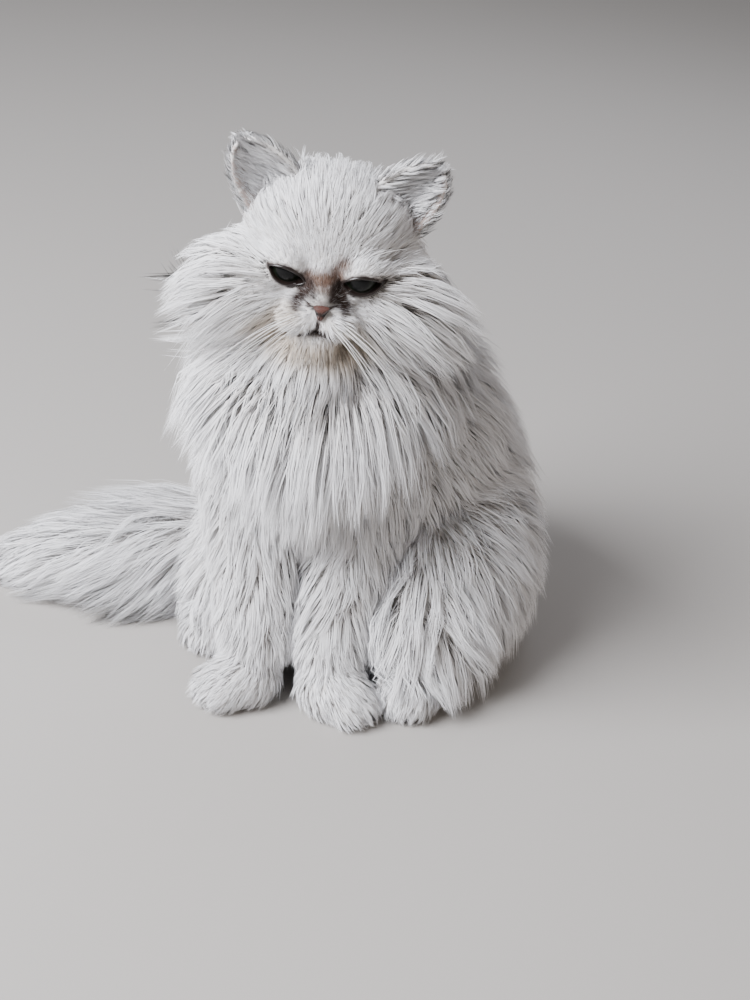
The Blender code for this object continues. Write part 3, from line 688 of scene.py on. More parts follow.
def part_shares(points):
    """For each point, how much each part of the body has to say. Rows add up to one."""
    gaps = {part: np.full(len(points), np.inf) for part in PARTS}
    for lump in LUMPS:
        gaps[lump.part] = np.minimum(gaps[lump.part], from_lump(lump, points))
    for limb in LIMBS:
        gaps[limb.part] = np.minimum(gaps[limb.part], from_limb(limb, points))
    ear = np.minimum(ear_place(points, 1).gap, ear_place(points, -1).gap)
    on_ear = (ear < EAR_EDGE) & (gaps["head"] > 0.0005)
    gaps["ear"] = np.where(on_ear, DEEPEST, np.inf)
    weights = np.stack([np.exp(-np.maximum(gaps[part], DEEPEST) / BLEND) for part in PARTS], axis=1)
    return weights / weights.sum(axis=1, keepdims=True)


print("parts of the coat:", ", ".join(PARTS))

# %% [markdown]
# The lie of the coat is a set of rules, one for each part, that a groomer would know: away from
# the nose over the face, outwards and down from the cheeks, out and down in the ruff, down and
# back along the body, down the legs, along the tail. Each rule also gives the hair's length and
# width, how far its tip stands off the undercoat, the distance between tufts, and how far the
# hair's own weight bends it down. The face comes first: its hair is the shortest and finest.

# %% The coat of the face
Coat = namedtuple("Coat", "lie length width loft spacing droop")
MM = 0.001
DOWN = np.array((0.0, 0.0, -1.0))
RIGHT = np.array((1.0, 0.0, 0.0))
BACK = np.array((0.0, 1.0, 0.0))
# the lines of the mouth as x and z in the head's frame: one down from the nose, and a lip on each side
MOUTH_X = 0.0012                           # the mouth sits this far to the cat's left
LIP = [(0, -0.0335), (0.0025, -0.0340), (0.005, -0.0352), (0.011, -0.0385), (0.016, -0.0425)]
MOUTH = [[(MOUTH_X, z) for z in (-0.0235, -0.0290, -0.0345)]]
MOUTH += [[(MOUTH_X + side * x, z) for x, z in LIP] for side in SIDES.values()]
# hair of the face by distance from the nose, and of the places that differ
FACE_REACH = (0.006, 0.020, 0.036, 0.060, 0.080)
FACE_HAIR = (3.2 * MM, 6 * MM, 10 * MM, 18 * MM, 25 * MM)
CHEEK_HAIR, NAPE_HAIR, CHIN_HAIR, MUZZLE_HAIR, EAR_BASE_HAIR = 0.054, 0.050, 0.009, 0.0095, 0.026
FINEST, FINE, LONG = 3 * MM, 12 * MM, 50 * MM      # hair lengths that width and spacing go by


def by_length(length, finest, fine, long):
    """A value that changes with the hair's length, from the finest hair to the longest."""
    return np.interp(length, (FINEST, FINE, LONG), (finest, fine, long))


def lids_place(at):
    """How far outside the nearer eye's opening a point is, and the way straight out from its middle."""
    gaps, ways = [], []
    for side in SIDES.values():
        inward = eye_frame(side).inverted() @ HEAD
        x, y, z = moved(inward, at).T
        lids = LIDS[side]
        arc = np.where(z > 0, lids.upper, lids.lower) * (1 - (x / lids.half) ** 2)
        gap = np.where(np.abs(x) < lids.half, np.abs(z) - arc, np.hypot(np.abs(x) - lids.half, z))
        gaps.append(np.where(y < 0.004, gap, 0.05))
        ways.append(turned(inward.inverted(), np.stack([x, 0 * x, z * 1.5], axis=1)))
    nearer = gaps[0] < gaps[1]
    return np.where(nearer, gaps[0], gaps[1]), unit(np.where(column(nearer), ways[0], ways[1]))


def head_coat(points, normals):
    """The head's hair, laid away from the nose, with its own lie on cheeks, crown, nape, chin and muzzle."""
    at = moved(HEAD.inverted(), points)
    x, y, z = at.T
    away = at - np.array(NOSE_AT)
    reach = np.linalg.norm(away, axis=1)
    away = unit(away)
    outward = column(np.clip(x / 0.012, -1, 1)) * RIGHT
    # how much a point belongs to each zone of the head, by where it is, in metres
    cheek = ramp(np.abs(x), 0.016, 0.038) * ramp(z, 0.014, -0.006)
    crown = ramp(z, 0.012, 0.034)
    nape = ramp(y, 0.014, 0.036)
    chin = ramp(z, -0.033, -0.040) * ramp(np.abs(x), 0.028, 0.014)
    muzzle = ramp(reach, 0.030, 0.016) * ramp(z, -0.014, -0.022)
    lids, from_eye = lids_place(at)
    by_eye = np.exp(-np.maximum(lids, 0) / 0.005)
    lie = (away + column(cheek) * (0.9 * outward + 0.55 * DOWN + 0.25 * BACK) + column(crown) * 0.7 * BACK
           + column(nape) * (0.5 * DOWN + 0.4 * BACK) + column(chin) * 1.2 * DOWN
           + column(muzzle) * (1.2 * outward + 0.7 * DOWN) + column(by_eye) * from_eye)
    length = np.interp(reach, FACE_REACH, FACE_HAIR)
    full = cheek ** 1.5 * ramp(reach, 0.022, 0.052)
    length = length + (CHEEK_HAIR - 0.25 * z - length) * full
    length = length + (NAPE_HAIR - length) * nape * ramp(z, 0.040, 0.020)
    length = length + (CHIN_HAIR - length) * chin
    length = length + (MUZZLE_HAIR - length) * muzzle
    lips = np.min([from_line(at[:, [0, 2]], line) for line in MOUTH], axis=0)
    length = length * (1 - 0.55 * by_eye) * (0.35 + 0.65 * ramp(lips, 0.0008, 0.0050))
    by_ear = np.zeros(len(at))
    for side in SIDES.values():
        base_in, base_out = (np.array(mirrored(p, side)) for p in (EAR_BASE_IN, EAR_BASE_OUT))
        by_ear = np.maximum(by_ear, ramp(from_line(at, [base_in, base_out]), 0.015, 0.006))
    by_ear = by_ear * (at[:, 1] < 0.012)
    length = length + (EAR_BASE_HAIR - length) * by_ear
    lie = lie + column(by_ear) * (-1.6 * DOWN + 0.4 * outward)
    loft = length * (0.20 + 0.10 * crown + 0.25 * by_ear) + 0.014 * full + 0.008 * nape
    return Coat(turned(HEAD, unit(lie)), length, by_length(length, 0.32 * MM, 0.46 * MM, 0.66 * MM), loft,
                by_length(length, 0.75 * MM, 0.95 * MM, 1.70 * MM), by_length(length, 0.0, 0.05, 0.60))


print("hair of the face:", FACE_HAIR[0] / MM, "to", FACE_HAIR[-1] / MM, "mm")

# %% [markdown]
# Down the body the hair is some seven centimetres long. The ruff and bib stand out furthest and
# end in a loose edge over the front legs, whose own hair is less than half as long.

# %% The coat of the body
BIB_EDGE = 0.138                           # height of the bib's lower edge in the middle
RUFF_HAIR, THROAT_HAIR, BODY_HAIR, HIND_LEG_HAIR, TAIL_HAIR = 0.080, 0.030, 0.070, 0.054, 0.088
FRONT_FOOT_HAIR, HIND_FOOT_HAIR = 0.0125, 0.0130


def even(points, lie, length, width, loft, spacing, droop):
    """A coat that is the same at every point but for its lie."""
    whole = np.ones(len(points))
    return Coat(unit(lie + 0 * points), whole * length, whole * width, whole * loft, whole * spacing,
                whole * droop)


def over_floor(points, length):
    """The length, shortened near the floor so that hair doesn't pile up there."""
    return np.minimum(length, 0.012 + 0.85 * points[:, 2])


def bib_length(points, longest):
    """In front, hair ends at one edge over the legs, higher at the sides than in the middle."""
    x, y, z = moved(CAT.inverted(), points).T
    edge = BIB_EDGE + 0.8 * np.abs(x + 0.045)
    ends = np.clip((z - edge) / 0.80, 0.024, longest)      # hair hangs down by 0.8 of its length
    return ends + (longest - ends) * ramp(y, 0.035, 0.070)


def neck_coat(points, normals):
    """The ruff and bib, parted in the middle, fuller on the cat's right and short at the throat."""
    x, y, z = moved(CAT.inverted(), points).T
    parting = np.interp(z, (0.155, 0.240), (-0.058, -0.032))
    outward = np.stack([x - parting, np.minimum(y - 0.03, 0.01), 0 * z], axis=1)
    right = ramp(x, -0.075, -0.110)
    throat = ramp(z, 0.234, 0.250) * ramp(y, 0.014, -0.004)
    high = ramp(z, 0.262, 0.285)
    made = even(points, 10 * outward + column(1 + 2 * high) * DOWN, length=RUFF_HAIR, width=0.66 * MM,
                loft=0.032, spacing=1.72 * MM, droop=0.75)
    length = bib_length(points, RUFF_HAIR) + 0.008 * right
    length = length + (THROAT_HAIR - length) * np.maximum(throat, high)
    return made._replace(length=length, loft=length * (0.40 - 0.18 * throat) + 0.004 * right)


def torso_coat(points, normals):
    """Down the chest and sides, back over the rump, and short between the legs."""
    _, y, z = moved(BODY.inverted(), points).T
    back = ramp(y, 0.02, 0.10)
    chest = ramp(z, 0.125, 0.165) * (1 - back)
    lie = 0.75 * DOWN + 0.55 * column(back) * turned(BODY, BACK[None, :])
    made = even(points, lie, length=BODY_HAIR, width=0.68 * MM, loft=0.024, spacing=1.88 * MM, droop=0.5)
    short = (1 - back) * (1 - ramp(z, 0.115, 0.150))
    length = np.minimum(BODY_HAIR - 0.040 * short, bib_length(points, BODY_HAIR))
    return made._replace(length=over_floor(points, length + 0.006 * chest), loft=0.024 - 0.014 * short)


def front_leg_coat(points, normals):
    """Down the legs, shorter and denser towards the feet."""
    high = ramp(moved(CAT.inverted(), points)[:, 2], 0.024, 0.080)
    return even(points, DOWN + 0.25 * BACK, length=0.014 + 0.018 * high, width=0.66 * MM,
                loft=0.004 + 0.006 * high, spacing=(1.3 + 0.4 * high) * MM, droop=0.4)


def short_at_floor(points, length):
    """Hair of a foot, half as long beside the floor."""
    return length - 0.0065 * ramp(points[:, 2], 0.010, 0.003)


def front_foot_coat(points, normals):
    """The way that each foot points, and down."""
    ahead = np.zeros_like(points)
    for *bones, way in FRONT_LEGS:
        foot = np.array(CAT @ Vector(bones[-1]))
        near = np.exp(-np.linalg.norm(points - foot, axis=1) / 0.02)
        ahead += column(near) * np.array((*way, 0.0))
    return even(points, unit(ahead) + 0.40 * DOWN, length=short_at_floor(points, FRONT_FOOT_HAIR),
                width=0.48 * MM, loft=0.0032, spacing=1.15 * MM, droop=0.2)


def hind_leg_coat(points, normals):
    """Down and back over the haunches."""
    back = turned(BODY, BACK[None, :])
    return even(points, 0.8 * DOWN + 0.35 * back, length=over_floor(points, HIND_LEG_HAIR), width=0.66 * MM,
                loft=0.019, spacing=1.80 * MM, droop=0.5)


def hind_foot_coat(points, normals):
    """Ahead and down over the toes."""
    ahead = turned(BODY, -BACK[None, :])
    return even(points, ahead + 0.6 * DOWN, length=short_at_floor(points, HIND_FOOT_HAIR), width=0.52 * MM,
                loft=0.0030, spacing=1.25 * MM, droop=0.3)


def tail_coat(points, normals):
    """Along the tail and out to its sides, closer at its end."""
    bones = np.array(TAIL_POINTS)
    middles = (bones[1:] + bones[:-1]) / 2
    ways = unit(bones[1:] - bones[:-1])
    near = np.exp(-np.linalg.norm(points[:, None, :] - middles[None, :, :], axis=2) / 0.015)
    along = unit(near @ ways)
    sideways = normals * (1, 1, 0.5)
    end = ramp(moved(CAT.inverted(), points)[:, 0], -0.10, -0.20)
    return even(points, along + 0.75 * sideways, length=TAIL_HAIR - 0.034 * end, width=0.68 * MM,
                loft=0.038 - 0.020 * end, spacing=1.80 * MM, droop=0.40)


print("longest hair of ruff, body and tail:", RUFF_HAIR / MM, BODY_HAIR / MM, TAIL_HAIR / MM, "mm")

# %% [markdown]
# An ear's back has short hair that runs up to the tip. Inside, hair half as long again fills most of
# the cup and sweeps up and outwards. It thins out at the outer edge, where a narrow strip of skin
# shows, and near the tip it is short and lies close.

# %% The coat of the ears
EAR_BACK_HAIR, EAR_EDGE_HAIR, EAR_CUP_HAIR = 0.0125, 0.006, 0.019
SHORT_AT_TIP = 0.40                        # share of the length that is missing at the tip


def ear_coat(points, normals):
    """Hair of the ears, with its own rule for the back and for the inside of each."""
    at = moved(HEAD.inverted(), points)
    lie = np.zeros_like(points)
    length, loft = np.full(len(points), 0.0095), np.full(len(points), 0.0035)
    spacing = np.full(len(points), 1.0 * MM)
    for side in SIDES.values():
        mine = np.flatnonzero(np.sign(at[:, 0]) == side)
        if not len(mine):
            continue
        base_in, base_out, tip, _ = ear_corners(side)
        up = np.array(HEAD.to_3x3() @ (tip - (base_in + base_out) / 2).normalized())
        out = np.array(HEAD.to_3x3() @ (base_out - base_in).normalized())
        place = ear_place(points[mine], side)
        inside = ramp(place.across, 0.95, 0.30)
        by_tip = ramp(place.up, 0.55, 1.0)
        lie[mine] = up + column(np.where(place.behind, 0.0, 0.45 * (1 - by_tip))) * out
        cup_hair = EAR_EDGE_HAIR + (EAR_CUP_HAIR - EAR_EDGE_HAIR) * inside
        length[mine] = np.where(place.behind, EAR_BACK_HAIR, cup_hair) * (1 - SHORT_AT_TIP * by_tip)
        loft[mine] = np.where(place.behind, 0.0040, 0.0012 + 0.0050 * inside) * (1 - 0.50 * by_tip)
        spacing[mine] = np.where(place.behind, 0.95 * MM, (1.3 - 0.50 * inside) * MM)
    width = by_length(length, 0.35 * MM, 0.45 * MM, 0.60 * MM)
    return Coat(unit(lie), length, width, loft, spacing, 0 * length)


RULES = {"head": head_coat, "neck": neck_coat, "torso": torso_coat, "front_leg": front_leg_coat,
         "front_foot": front_foot_coat, "hind_leg": hind_leg_coat, "hind_foot": hind_foot_coat,
         "tail": tail_coat, "ear": ear_coat}


def coat_at(points, normals):
    """The rules of all parts, mixed by their shares, with the lie laid along the skin."""
    shares = part_shares(points)
    rules = [RULES[part](points, normals) for part in PARTS]
    mixed = {}
    for field in Coat._fields:
        values = [getattr(rule, field) for rule in rules]
        if field == "lie":
            mixed[field] = sum(column(shares[:, i]) * values[i] for i in range(len(PARTS)))
        else:
            mixed[field] = sum(shares[:, i] * values[i] for i in range(len(PARTS)))
    lie = mixed["lie"] - normals * np.sum(mixed["lie"] * normals, axis=1, keepdims=True)
    return Coat(**{**mixed, "lie": unit(lie)})


corners = SKIN_POINTS[SKIN_TRIS]
TRI_AREAS = np.linalg.norm(np.cross(corners[:, 1] - corners[:, 0], corners[:, 2] - corners[:, 0]), axis=1) / 2
TRI_COAT = coat_at(corners.mean(axis=1), unit(SKIN_NORMALS[SKIN_TRIS].mean(axis=1)))
print("skin area:", round(TRI_AREAS.sum() * 1e4), "square cm")

# %% [markdown]
# Hair grows in three orders. A few leaders give the large locks, guides give the small ones, and
# every tuft bends towards its guide, and every guide towards its leader, more and more towards
# the tip. That is what makes long hair part and hang together instead of standing like a brush.

# %% Roots and paths
Roots = namedtuple("Roots", "points normals uvs coat")
STATIONS = 7                               # points along each path, root and tip among them
SINK = 0.0010                              # how deep a root goes under the skin
FLOOR_GAP = 0.0005
RIM_EDGE = 0.0013                          # hair starts this far outside the lids' opening
NOSE_BARE = (0.0052, 0.0080, 0.0046)       # half sizes of the leather that carries no hair
LIP_BARE = 0.0007                          # the lips carry no hair this near their line
SOLE = 0.0024                              # skin lower than this rests on the floor, so no hair grows there
PATH_TIMES = np.linspace(0, 1, STATIONS)


def bare(points):
    """Where no hair grows: at the lids' opening, on the nose, along the lips and under the feet."""
    at = moved(HEAD.inverted(), points)
    lids, _ = lids_place(at)
    nose = np.linalg.norm((at - np.array(NOSE_AT)) / NOSE_BARE, axis=1) < 1
    lips = np.min([from_line(at[:, [0, 2]], line) for line in MOUTH], axis=0)
    return (lids < RIM_EDGE) | nose | ((lips < LIP_BARE) & (at[:, 1] < -0.03)) | (points[:, 2] < SOLE)


def rooted(crowding, seed):
    """Random roots all over the skin. Crowding multiplies the distance between tufts of the rules."""
    draw = np.random.default_rng(seed)
    wanted = TRI_AREAS / (TRI_COAT.spacing * crowding) ** 2
    count = int(wanted.sum())
    sums = np.cumsum(wanted) / wanted.sum()
    picks = np.searchsorted(sums, (np.arange(count) + draw.random(count)) / count)
    picks = np.minimum(picks, len(SKIN_TRIS) - 1)
    u, v = draw.random((2, count))
    flip = u + v > 1
    u, v = np.where(flip, 1 - u, u), np.where(flip, 1 - v, v)
    shares = np.stack([1 - u - v, u, v], axis=1)[:, :, None]
    points = (SKIN_POINTS[SKIN_TRIS[picks]] * shares).sum(axis=1)
    normals = unit((SKIN_NORMALS[SKIN_TRIS[picks]] * shares).sum(axis=1))
    uvs = (SKIN_UVS[SKIN_LOOPS[picks]] * shares).sum(axis=1)
    keep = ~bare(points)
    points, normals, uvs = points[keep], normals[keep], uvs[keep]
    return Roots(points, normals, uvs, coat_at(points, normals))


def lifted(points, heights):
    """The points, each pushed out of the skin until it is that high over it."""
    for i, (place, height) in enumerate(zip(points, heights)):
        spot, out, _, _ = SKIN_TREE.find_nearest(place)
        over = (Vector(place) - spot).dot(out)
        if over < height:
            points[i] = place + np.array(out) * (height - over)
    return points


STRAY = 0.10                               # how far a path's heading strays from the lie


def grown(roots, seed):
    """A free path for each root: along the lie, off the skin, and down under its own weight."""
    draw = np.random.default_rng(seed)
    count = len(roots.points)
    coat = roots.coat
    length = coat.length * draw.uniform(0.88, 1.10, count)
    loft = coat.loft * draw.uniform(0.75, 1.05, count)
    stray = unit(coat.lie + STRAY * draw.normal(size=(count, 3)))
    here = roots.points - roots.normals * SINK
    paths = [here]
    for t in PATH_TIMES[1:]:
        heading = unit(stray + roots.normals * column(1.6 * loft / length) * (1 - t)
                       + DOWN * column(coat.droop) * t)
        here = here + heading * column(length / (STATIONS - 1))
        here = lifted(here, loft * (1 - (1 - t) ** 1.7))
        here[:, 2] = np.maximum(here[:, 2], FLOOR_GAP)
        paths.append(here)
    return np.stack(paths, axis=1)


def nearest_of(points, others):
    """For each point, the number of the nearest other."""
    tree = tree_of(others)
    return np.array([tree.find(p)[1] for p in points])


LOCK_CROWDING = 9.0                        # leaders are this many tufts apart, guides the next
STRAND_CROWDING = 2.8

leader_roots = rooted(LOCK_CROWDING, 1)
leader_paths = grown(leader_roots, 2)
guide_roots = rooted(STRAND_CROWDING, 3)
guide_paths = grown(guide_roots, 4)
long_hair = ramp(guide_roots.coat.length, 0.015, 0.040)
pull = column(0.08 + 0.42 * long_hair) * PATH_TIMES ** 1.5
led = leader_paths[nearest_of(guide_roots.points, leader_roots.points)]
guide_paths = guide_paths + (led - guide_paths) * pull[:, :, None]
print(len(leader_paths), "leaders,", len(guide_paths), "guides")

# %% [markdown]
# Tufts copy the path of the guide beside them, from their own root. Some are undercoat, short and
# close to the skin, and a few are loose hairs that wander off and soften the outline.

# %% Tufts
UNDER_SHARE = 0.22                         # share of the tufts that are undercoat
LOOSE_SHARE = 0.06                         # share of the others that are loose
TUFT_CROWDING = 1.06                       # a little wider than the rules, to keep the coat light enough


def followed(roots, seed):
    """A path for each tuft from its guide's, and the tuft's width."""
    draw = np.random.default_rng(seed)
    count = len(roots.points)
    coat = roots.coat
    chosen = nearest_of(roots.points, guide_roots.points)
    guide = guide_paths[chosen]
    long_hair = ramp(coat.length, 0.012, 0.040)
    under = draw.random(count) < UNDER_SHARE
    loose = ~under & (draw.random(count) < LOOSE_SHARE)
    scale = np.where(under, draw.uniform(0.45, 0.75, count), draw.uniform(0.84, 1.06, count))
    scale = scale * coat.length / guide_roots.coat.length[chosen]
    free = (roots.points - roots.normals * SINK)[:, None] + (guide - guide[:, :1]) * scale[:, None, None]
    pull = np.where(loose, -0.06, 0.24 + 0.22 * long_hair) * np.where(under, 0.3, 1)
    spread = column(0.0006 + 0.0016 * long_hair)
    aim = guide + (spread * draw.normal(size=(count, 3)))[:, None]
    path = free + (aim - free) * (column(pull) * PATH_TIMES ** 1.4)[:, :, None]
    across = unit(np.cross(coat.lie, roots.normals))
    phase = draw.uniform(0, 2 * math.pi, len(guide_paths))[chosen]
    waves = draw.uniform(4, 8, len(guide_paths))[chosen]
    swing = column(coat.length * 0.030 * long_hair) * np.sin(PATH_TIMES * column(waves) + column(phase))
    path = path + across[:, None] * (swing * PATH_TIMES)[:, :, None]
    for k in range(1, STATIONS - 1):
        path[:, k] = lifted(path[:, k], coat.loft * 0.25 * PATH_TIMES[k] + 0.0004)
    path[:, :, 2] = np.maximum(path[:, :, 2], FLOOR_GAP)
    return path, coat.width * np.where(loose, 0.5, draw.uniform(0.75, 1.2, count)), under


tuft_roots = rooted(TUFT_CROWDING, 5)
tuft_paths, tuft_widths, tuft_under = followed(tuft_roots, 6)
print(len(tuft_paths), "tufts")

# %% [markdown]
# Hair keeps to the size of the real cat: a tuft that would reach more than a few millimetres past
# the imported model's box is drawn in towards its root.

# %% Kept inside the cat's real size
MARGIN = 0.004                             # hair may stand this far past the box of the solids
box_low = np.array(CAD_BOX[0]) - MARGIN
box_high = np.array(CAD_BOX[1]) + MARGIN
start = tuft_paths[:, :1]
reach = tuft_paths - start
room = np.where(reach > 0, box_high - start, start - box_low)
needed = np.max(np.abs(reach) / np.maximum(room, 1e-6), axis=(1, 2))
tuft_paths = start + reach / np.maximum(needed, 1.0)[:, None, None]
tuft_paths[:, :, 2] = np.maximum(tuft_paths[:, :, 2], FLOOR_GAP)
print(int((needed > 1).sum()), "tufts shortened")

# %% [markdown]
# The coat is white. Tears have stained it dark brown beside the nose, with a fainter smudge
# between the eyes. Under the chin and in the crease of the muzzle it is creamy: partly a cream
# stain and partly painted shade in those hollows. Right round the lids it is dark too. The marks
# are written as strokes in the head's frame, and skin and coat both read them from the same
# function.

# %% Markings
Stroke = namedtuple("Stroke", "start end width strength")
STAINS = [
    Stroke((-0.0080, -0.045, -0.0045), (-0.0105, -0.045, -0.0110), 0.0046, 1.3),
    Stroke((-0.0105, -0.045, -0.0110), (-0.0140, -0.045, -0.0185), 0.0042, 1.1),
    Stroke((-0.0060, -0.050, -0.0050), (-0.0050, -0.050, -0.0110), 0.0034, 0.85),
    Stroke((0.0105, -0.045, -0.0060), (0.0125, -0.045, -0.0120), 0.0046, 1.3),
    Stroke((0.0125, -0.045, -0.0120), (0.0165, -0.045, -0.0180), 0.0040, 1.2),
    Stroke((0.0085, -0.050, -0.0045), (0.0080, -0.050, -0.0130), 0.0034, 1.0),
    Stroke((-0.0025, -0.055, -0.0190), (-0.0080, -0.055, -0.0165), 0.0016, 1.3),
    Stroke((0.0050, -0.055, -0.0190), (0.0105, -0.055, -0.0165), 0.0016, 1.3),
    Stroke((0.0012, -0.055, -0.0235), (0.0012, -0.055, -0.0335), 0.0016, 1.0),
    Stroke((-0.0020, -0.050, -0.0342), (0.0045, -0.050, -0.0342), 0.0030, 1.2),
    Stroke((-0.0020, -0.050, -0.0345), (-0.0100, -0.050, -0.0380), 0.0016, 0.7),
    Stroke((0.0045, -0.050, -0.0345), (0.0145, -0.050, -0.0390), 0.0016, 0.7),
]
SMUDGES = [
    Stroke((0.0060, -0.046, 0.0015), (0.0118, -0.040, 0.0086), 0.0050, 0.85),
    Stroke((-0.0080, -0.048, -0.0015), (0.0095, -0.048, 0.0005), 0.0052, 1.0),
    Stroke((-0.0030, -0.048, -0.0050), (0.0050, -0.048, -0.0060), 0.0040, 0.8),
]
# cream stain together with painted shade under the chin, along the lower cheeks and in the crease of the
# muzzle
CREAM_AND_SHADE = [
    Stroke((-0.0170, -0.045, -0.0250), (-0.0400, -0.030, -0.0440), 0.0070, 0.60),
    Stroke((-0.0300, -0.040, -0.0500), (0.0260, -0.040, -0.0520), 0.0110, 0.70),
    Stroke((0.0200, -0.045, -0.0350), (0.0380, -0.030, -0.0520), 0.0070, 0.45),
]
DEPTH_COUNTS = 0.15                        # a stroke marks hair in front of it and behind it too
MARKS_END = -0.075                         # nothing under this height of the head's frame is marked
LID_DARK = (0.0036, 0.0020)                # from the lids' edge, where the dark ends and where it is full


def stroked(at, strokes):
    """How strongly the strokes mark each point, from 0 to 1, on the front of the head alone."""
    mark = np.zeros(len(at))
    scale = np.array((1, DEPTH_COUNTS, 1))
    for stroke in strokes:
        a, b = np.array(stroke.start) * scale, np.array(stroke.end) * scale
        place = at * scale
        share = np.clip(((place - a) @ (b - a)) / ((b - a) @ (b - a)), 0, 1)
        gap = np.linalg.norm(place - a - column(share) * (b - a), axis=1)
        mark = np.maximum(mark, stroke.strength * ramp(gap, stroke.width * 1.5, stroke.width * 0.3))
    return np.minimum(mark, 1) * (at[:, 1] < 0.0) * (at[:, 2] > MARKS_END)


def markings(points):
    """Stain, smudge, and cream with painted shade at each point, from 0 to 1."""
    at = moved(HEAD.inverted(), points)
    round_lids = ramp(lids_place(at)[0], *LID_DARK) * (at[:, 1] < -0.02)
    stains = np.maximum(stroked(at, STAINS), round_lids)
    return np.stack([stains, stroked(at, SMUDGES), stroked(at, CREAM_AND_SHADE)], axis=1)


def paint(mesh, name, values):
    """Writes one colour for each vertex of the mesh."""
    layer = mesh.color_attributes.new(name, "FLOAT_COLOR", "POINT")
    full = np.ones((len(values), 4), np.float32)
    full[:, :values.shape[1]] = values
    layer.data.foreach_set("color", full.ravel())


def inner_ear(points):
    """How much each point is the bare skin inside an ear, from 0 to 1."""
    found = np.zeros(len(points))
    near = np.flatnonzero(moved(HEAD.inverted(), points)[:, 2] > 0.015)
    for side in SIDES.values():
        place = ear_place(points[near], side)
        inside = (place.gap < EAR_EDGE) & ~place.behind
        found[near] = np.maximum(found[near], inside * ramp(place.across, 0.45, 0.75))
    return found


paint(skin_mesh, "marks", markings(SKIN_POINTS))
paint(skin_mesh, "inner_ear", column(inner_ear(SKIN_POINTS)))
print("marks painted on", len(SKIN_POINTS), "points of skin")

# %% [markdown]
# Cat hair is keratin, a clear protein. White hair holds no pigment and scatters nearly all light,
# so its colour is close to white. Near the skin each tuft is painted a little warmer and darker, as
# painted shade deep in the coat. A tuft here stands for many hairs side by side, so it is rough and
# gets a touch of their soft sheen. Under it lies the undercoat, a felt of crimped down hair that is
# matt. It is painted warm and slightly grey, partly its own tone and partly painted shade between
# the tufts, so the eye takes it for depth between them, not for skin.

# %% The coat's material
WHITE_TIP = "#FAFAFB"
# painted shade: a tuft's colour at its root, darker and warmer than at its tip
WHITE_WITH_ROOT_SHADE = "#E6E1DB"
STRAND_SHADE = "#DEDBDA"                   # multiplies the tone of the greyest tufts
PALE_FROM = 0.55                           # share of a tuft's length where the white is full
CRIMP = 1 / 900                            # length of one crimp of the down hair, 1.1 mm
# the undercoat's two tones, greyer and warmer than the tufts: partly its own tone, partly painted shade
# between the tufts
DOWN_DARK, DOWN_LIGHT = "#E4DFDA", "#F6F3F0"
# the bare skin inside the ear cups, its own colour greyed and darkened as painted shade of the hollow cup
EAR_SKIN_WITH_SHADE = "#C4B3AB"
STAIN_DARK = "#2C1D16"
SMUDGE_BROWN = "#6A5346"
CREAM_AND_SHADE_COLOUR = "#C6B59E"


def marked_colour(tree, plain):
    """The plain colour with the marks laid over it."""
    marks = add(tree, "ShaderNodeAttribute", {"attribute_name": "marks"}, {})
    parts = add(tree, "ShaderNodeSeparateColor", {}, {"Color": marks.outputs["Color"]})
    colour = plain
    # blue lays on the cream stain with its painted shade, green the smudge, red the stains
    for channel, paint_colour in (("Blue", CREAM_AND_SHADE_COLOUR), ("Green", SMUDGE_BROWN), ("Red", STAIN_DARK)):
        colour = add(tree, "ShaderNodeMix", {"data_type": "RGBA"},
                     {"Factor": parts.outputs[channel], "A": colour, "B": linear(paint_colour)})
        colour = colour.outputs["Result"]
    return colour


def coat_material():
    made, tree, shader = material("white_guard_hair", Roughness=0.65, Sheen_Weight=0.10, Sheen_Roughness=0.5,
                                  IOR=1.55, Specular_IOR_Level=0.22)
    grain = add(tree, "ShaderNodeAttribute", {"attribute_name": "strand"}, {})
    parts = add(tree, "ShaderNodeSeparateColor", {}, {"Color": grain.outputs["Color"]})
    # from the root to PALE_FROM of its length a tuft is painted darker and warmer, as painted shade deep in
    # the coat
    along = add(tree, "ShaderNodeMapRange", {},
                {"Value": parts.outputs["Red"], "From Min": 0.0, "From Max": PALE_FROM})
    tone = add(tree, "ShaderNodeMix", {"data_type": "RGBA"},
               {"Factor": along.outputs["Result"], "A": linear(WHITE_WITH_ROOT_SHADE), "B": linear(WHITE_TIP)})
    shade = add(tree, "ShaderNodeMix", {"data_type": "RGBA", "blend_type": "MULTIPLY"},
                {"Factor": parts.outputs["Green"], "A": tone.outputs["Result"], "B": linear(STRAND_SHADE)})
    tree.links.new(marked_colour(tree, shade.outputs["Result"]), shader.inputs["Base Color"])
    return made


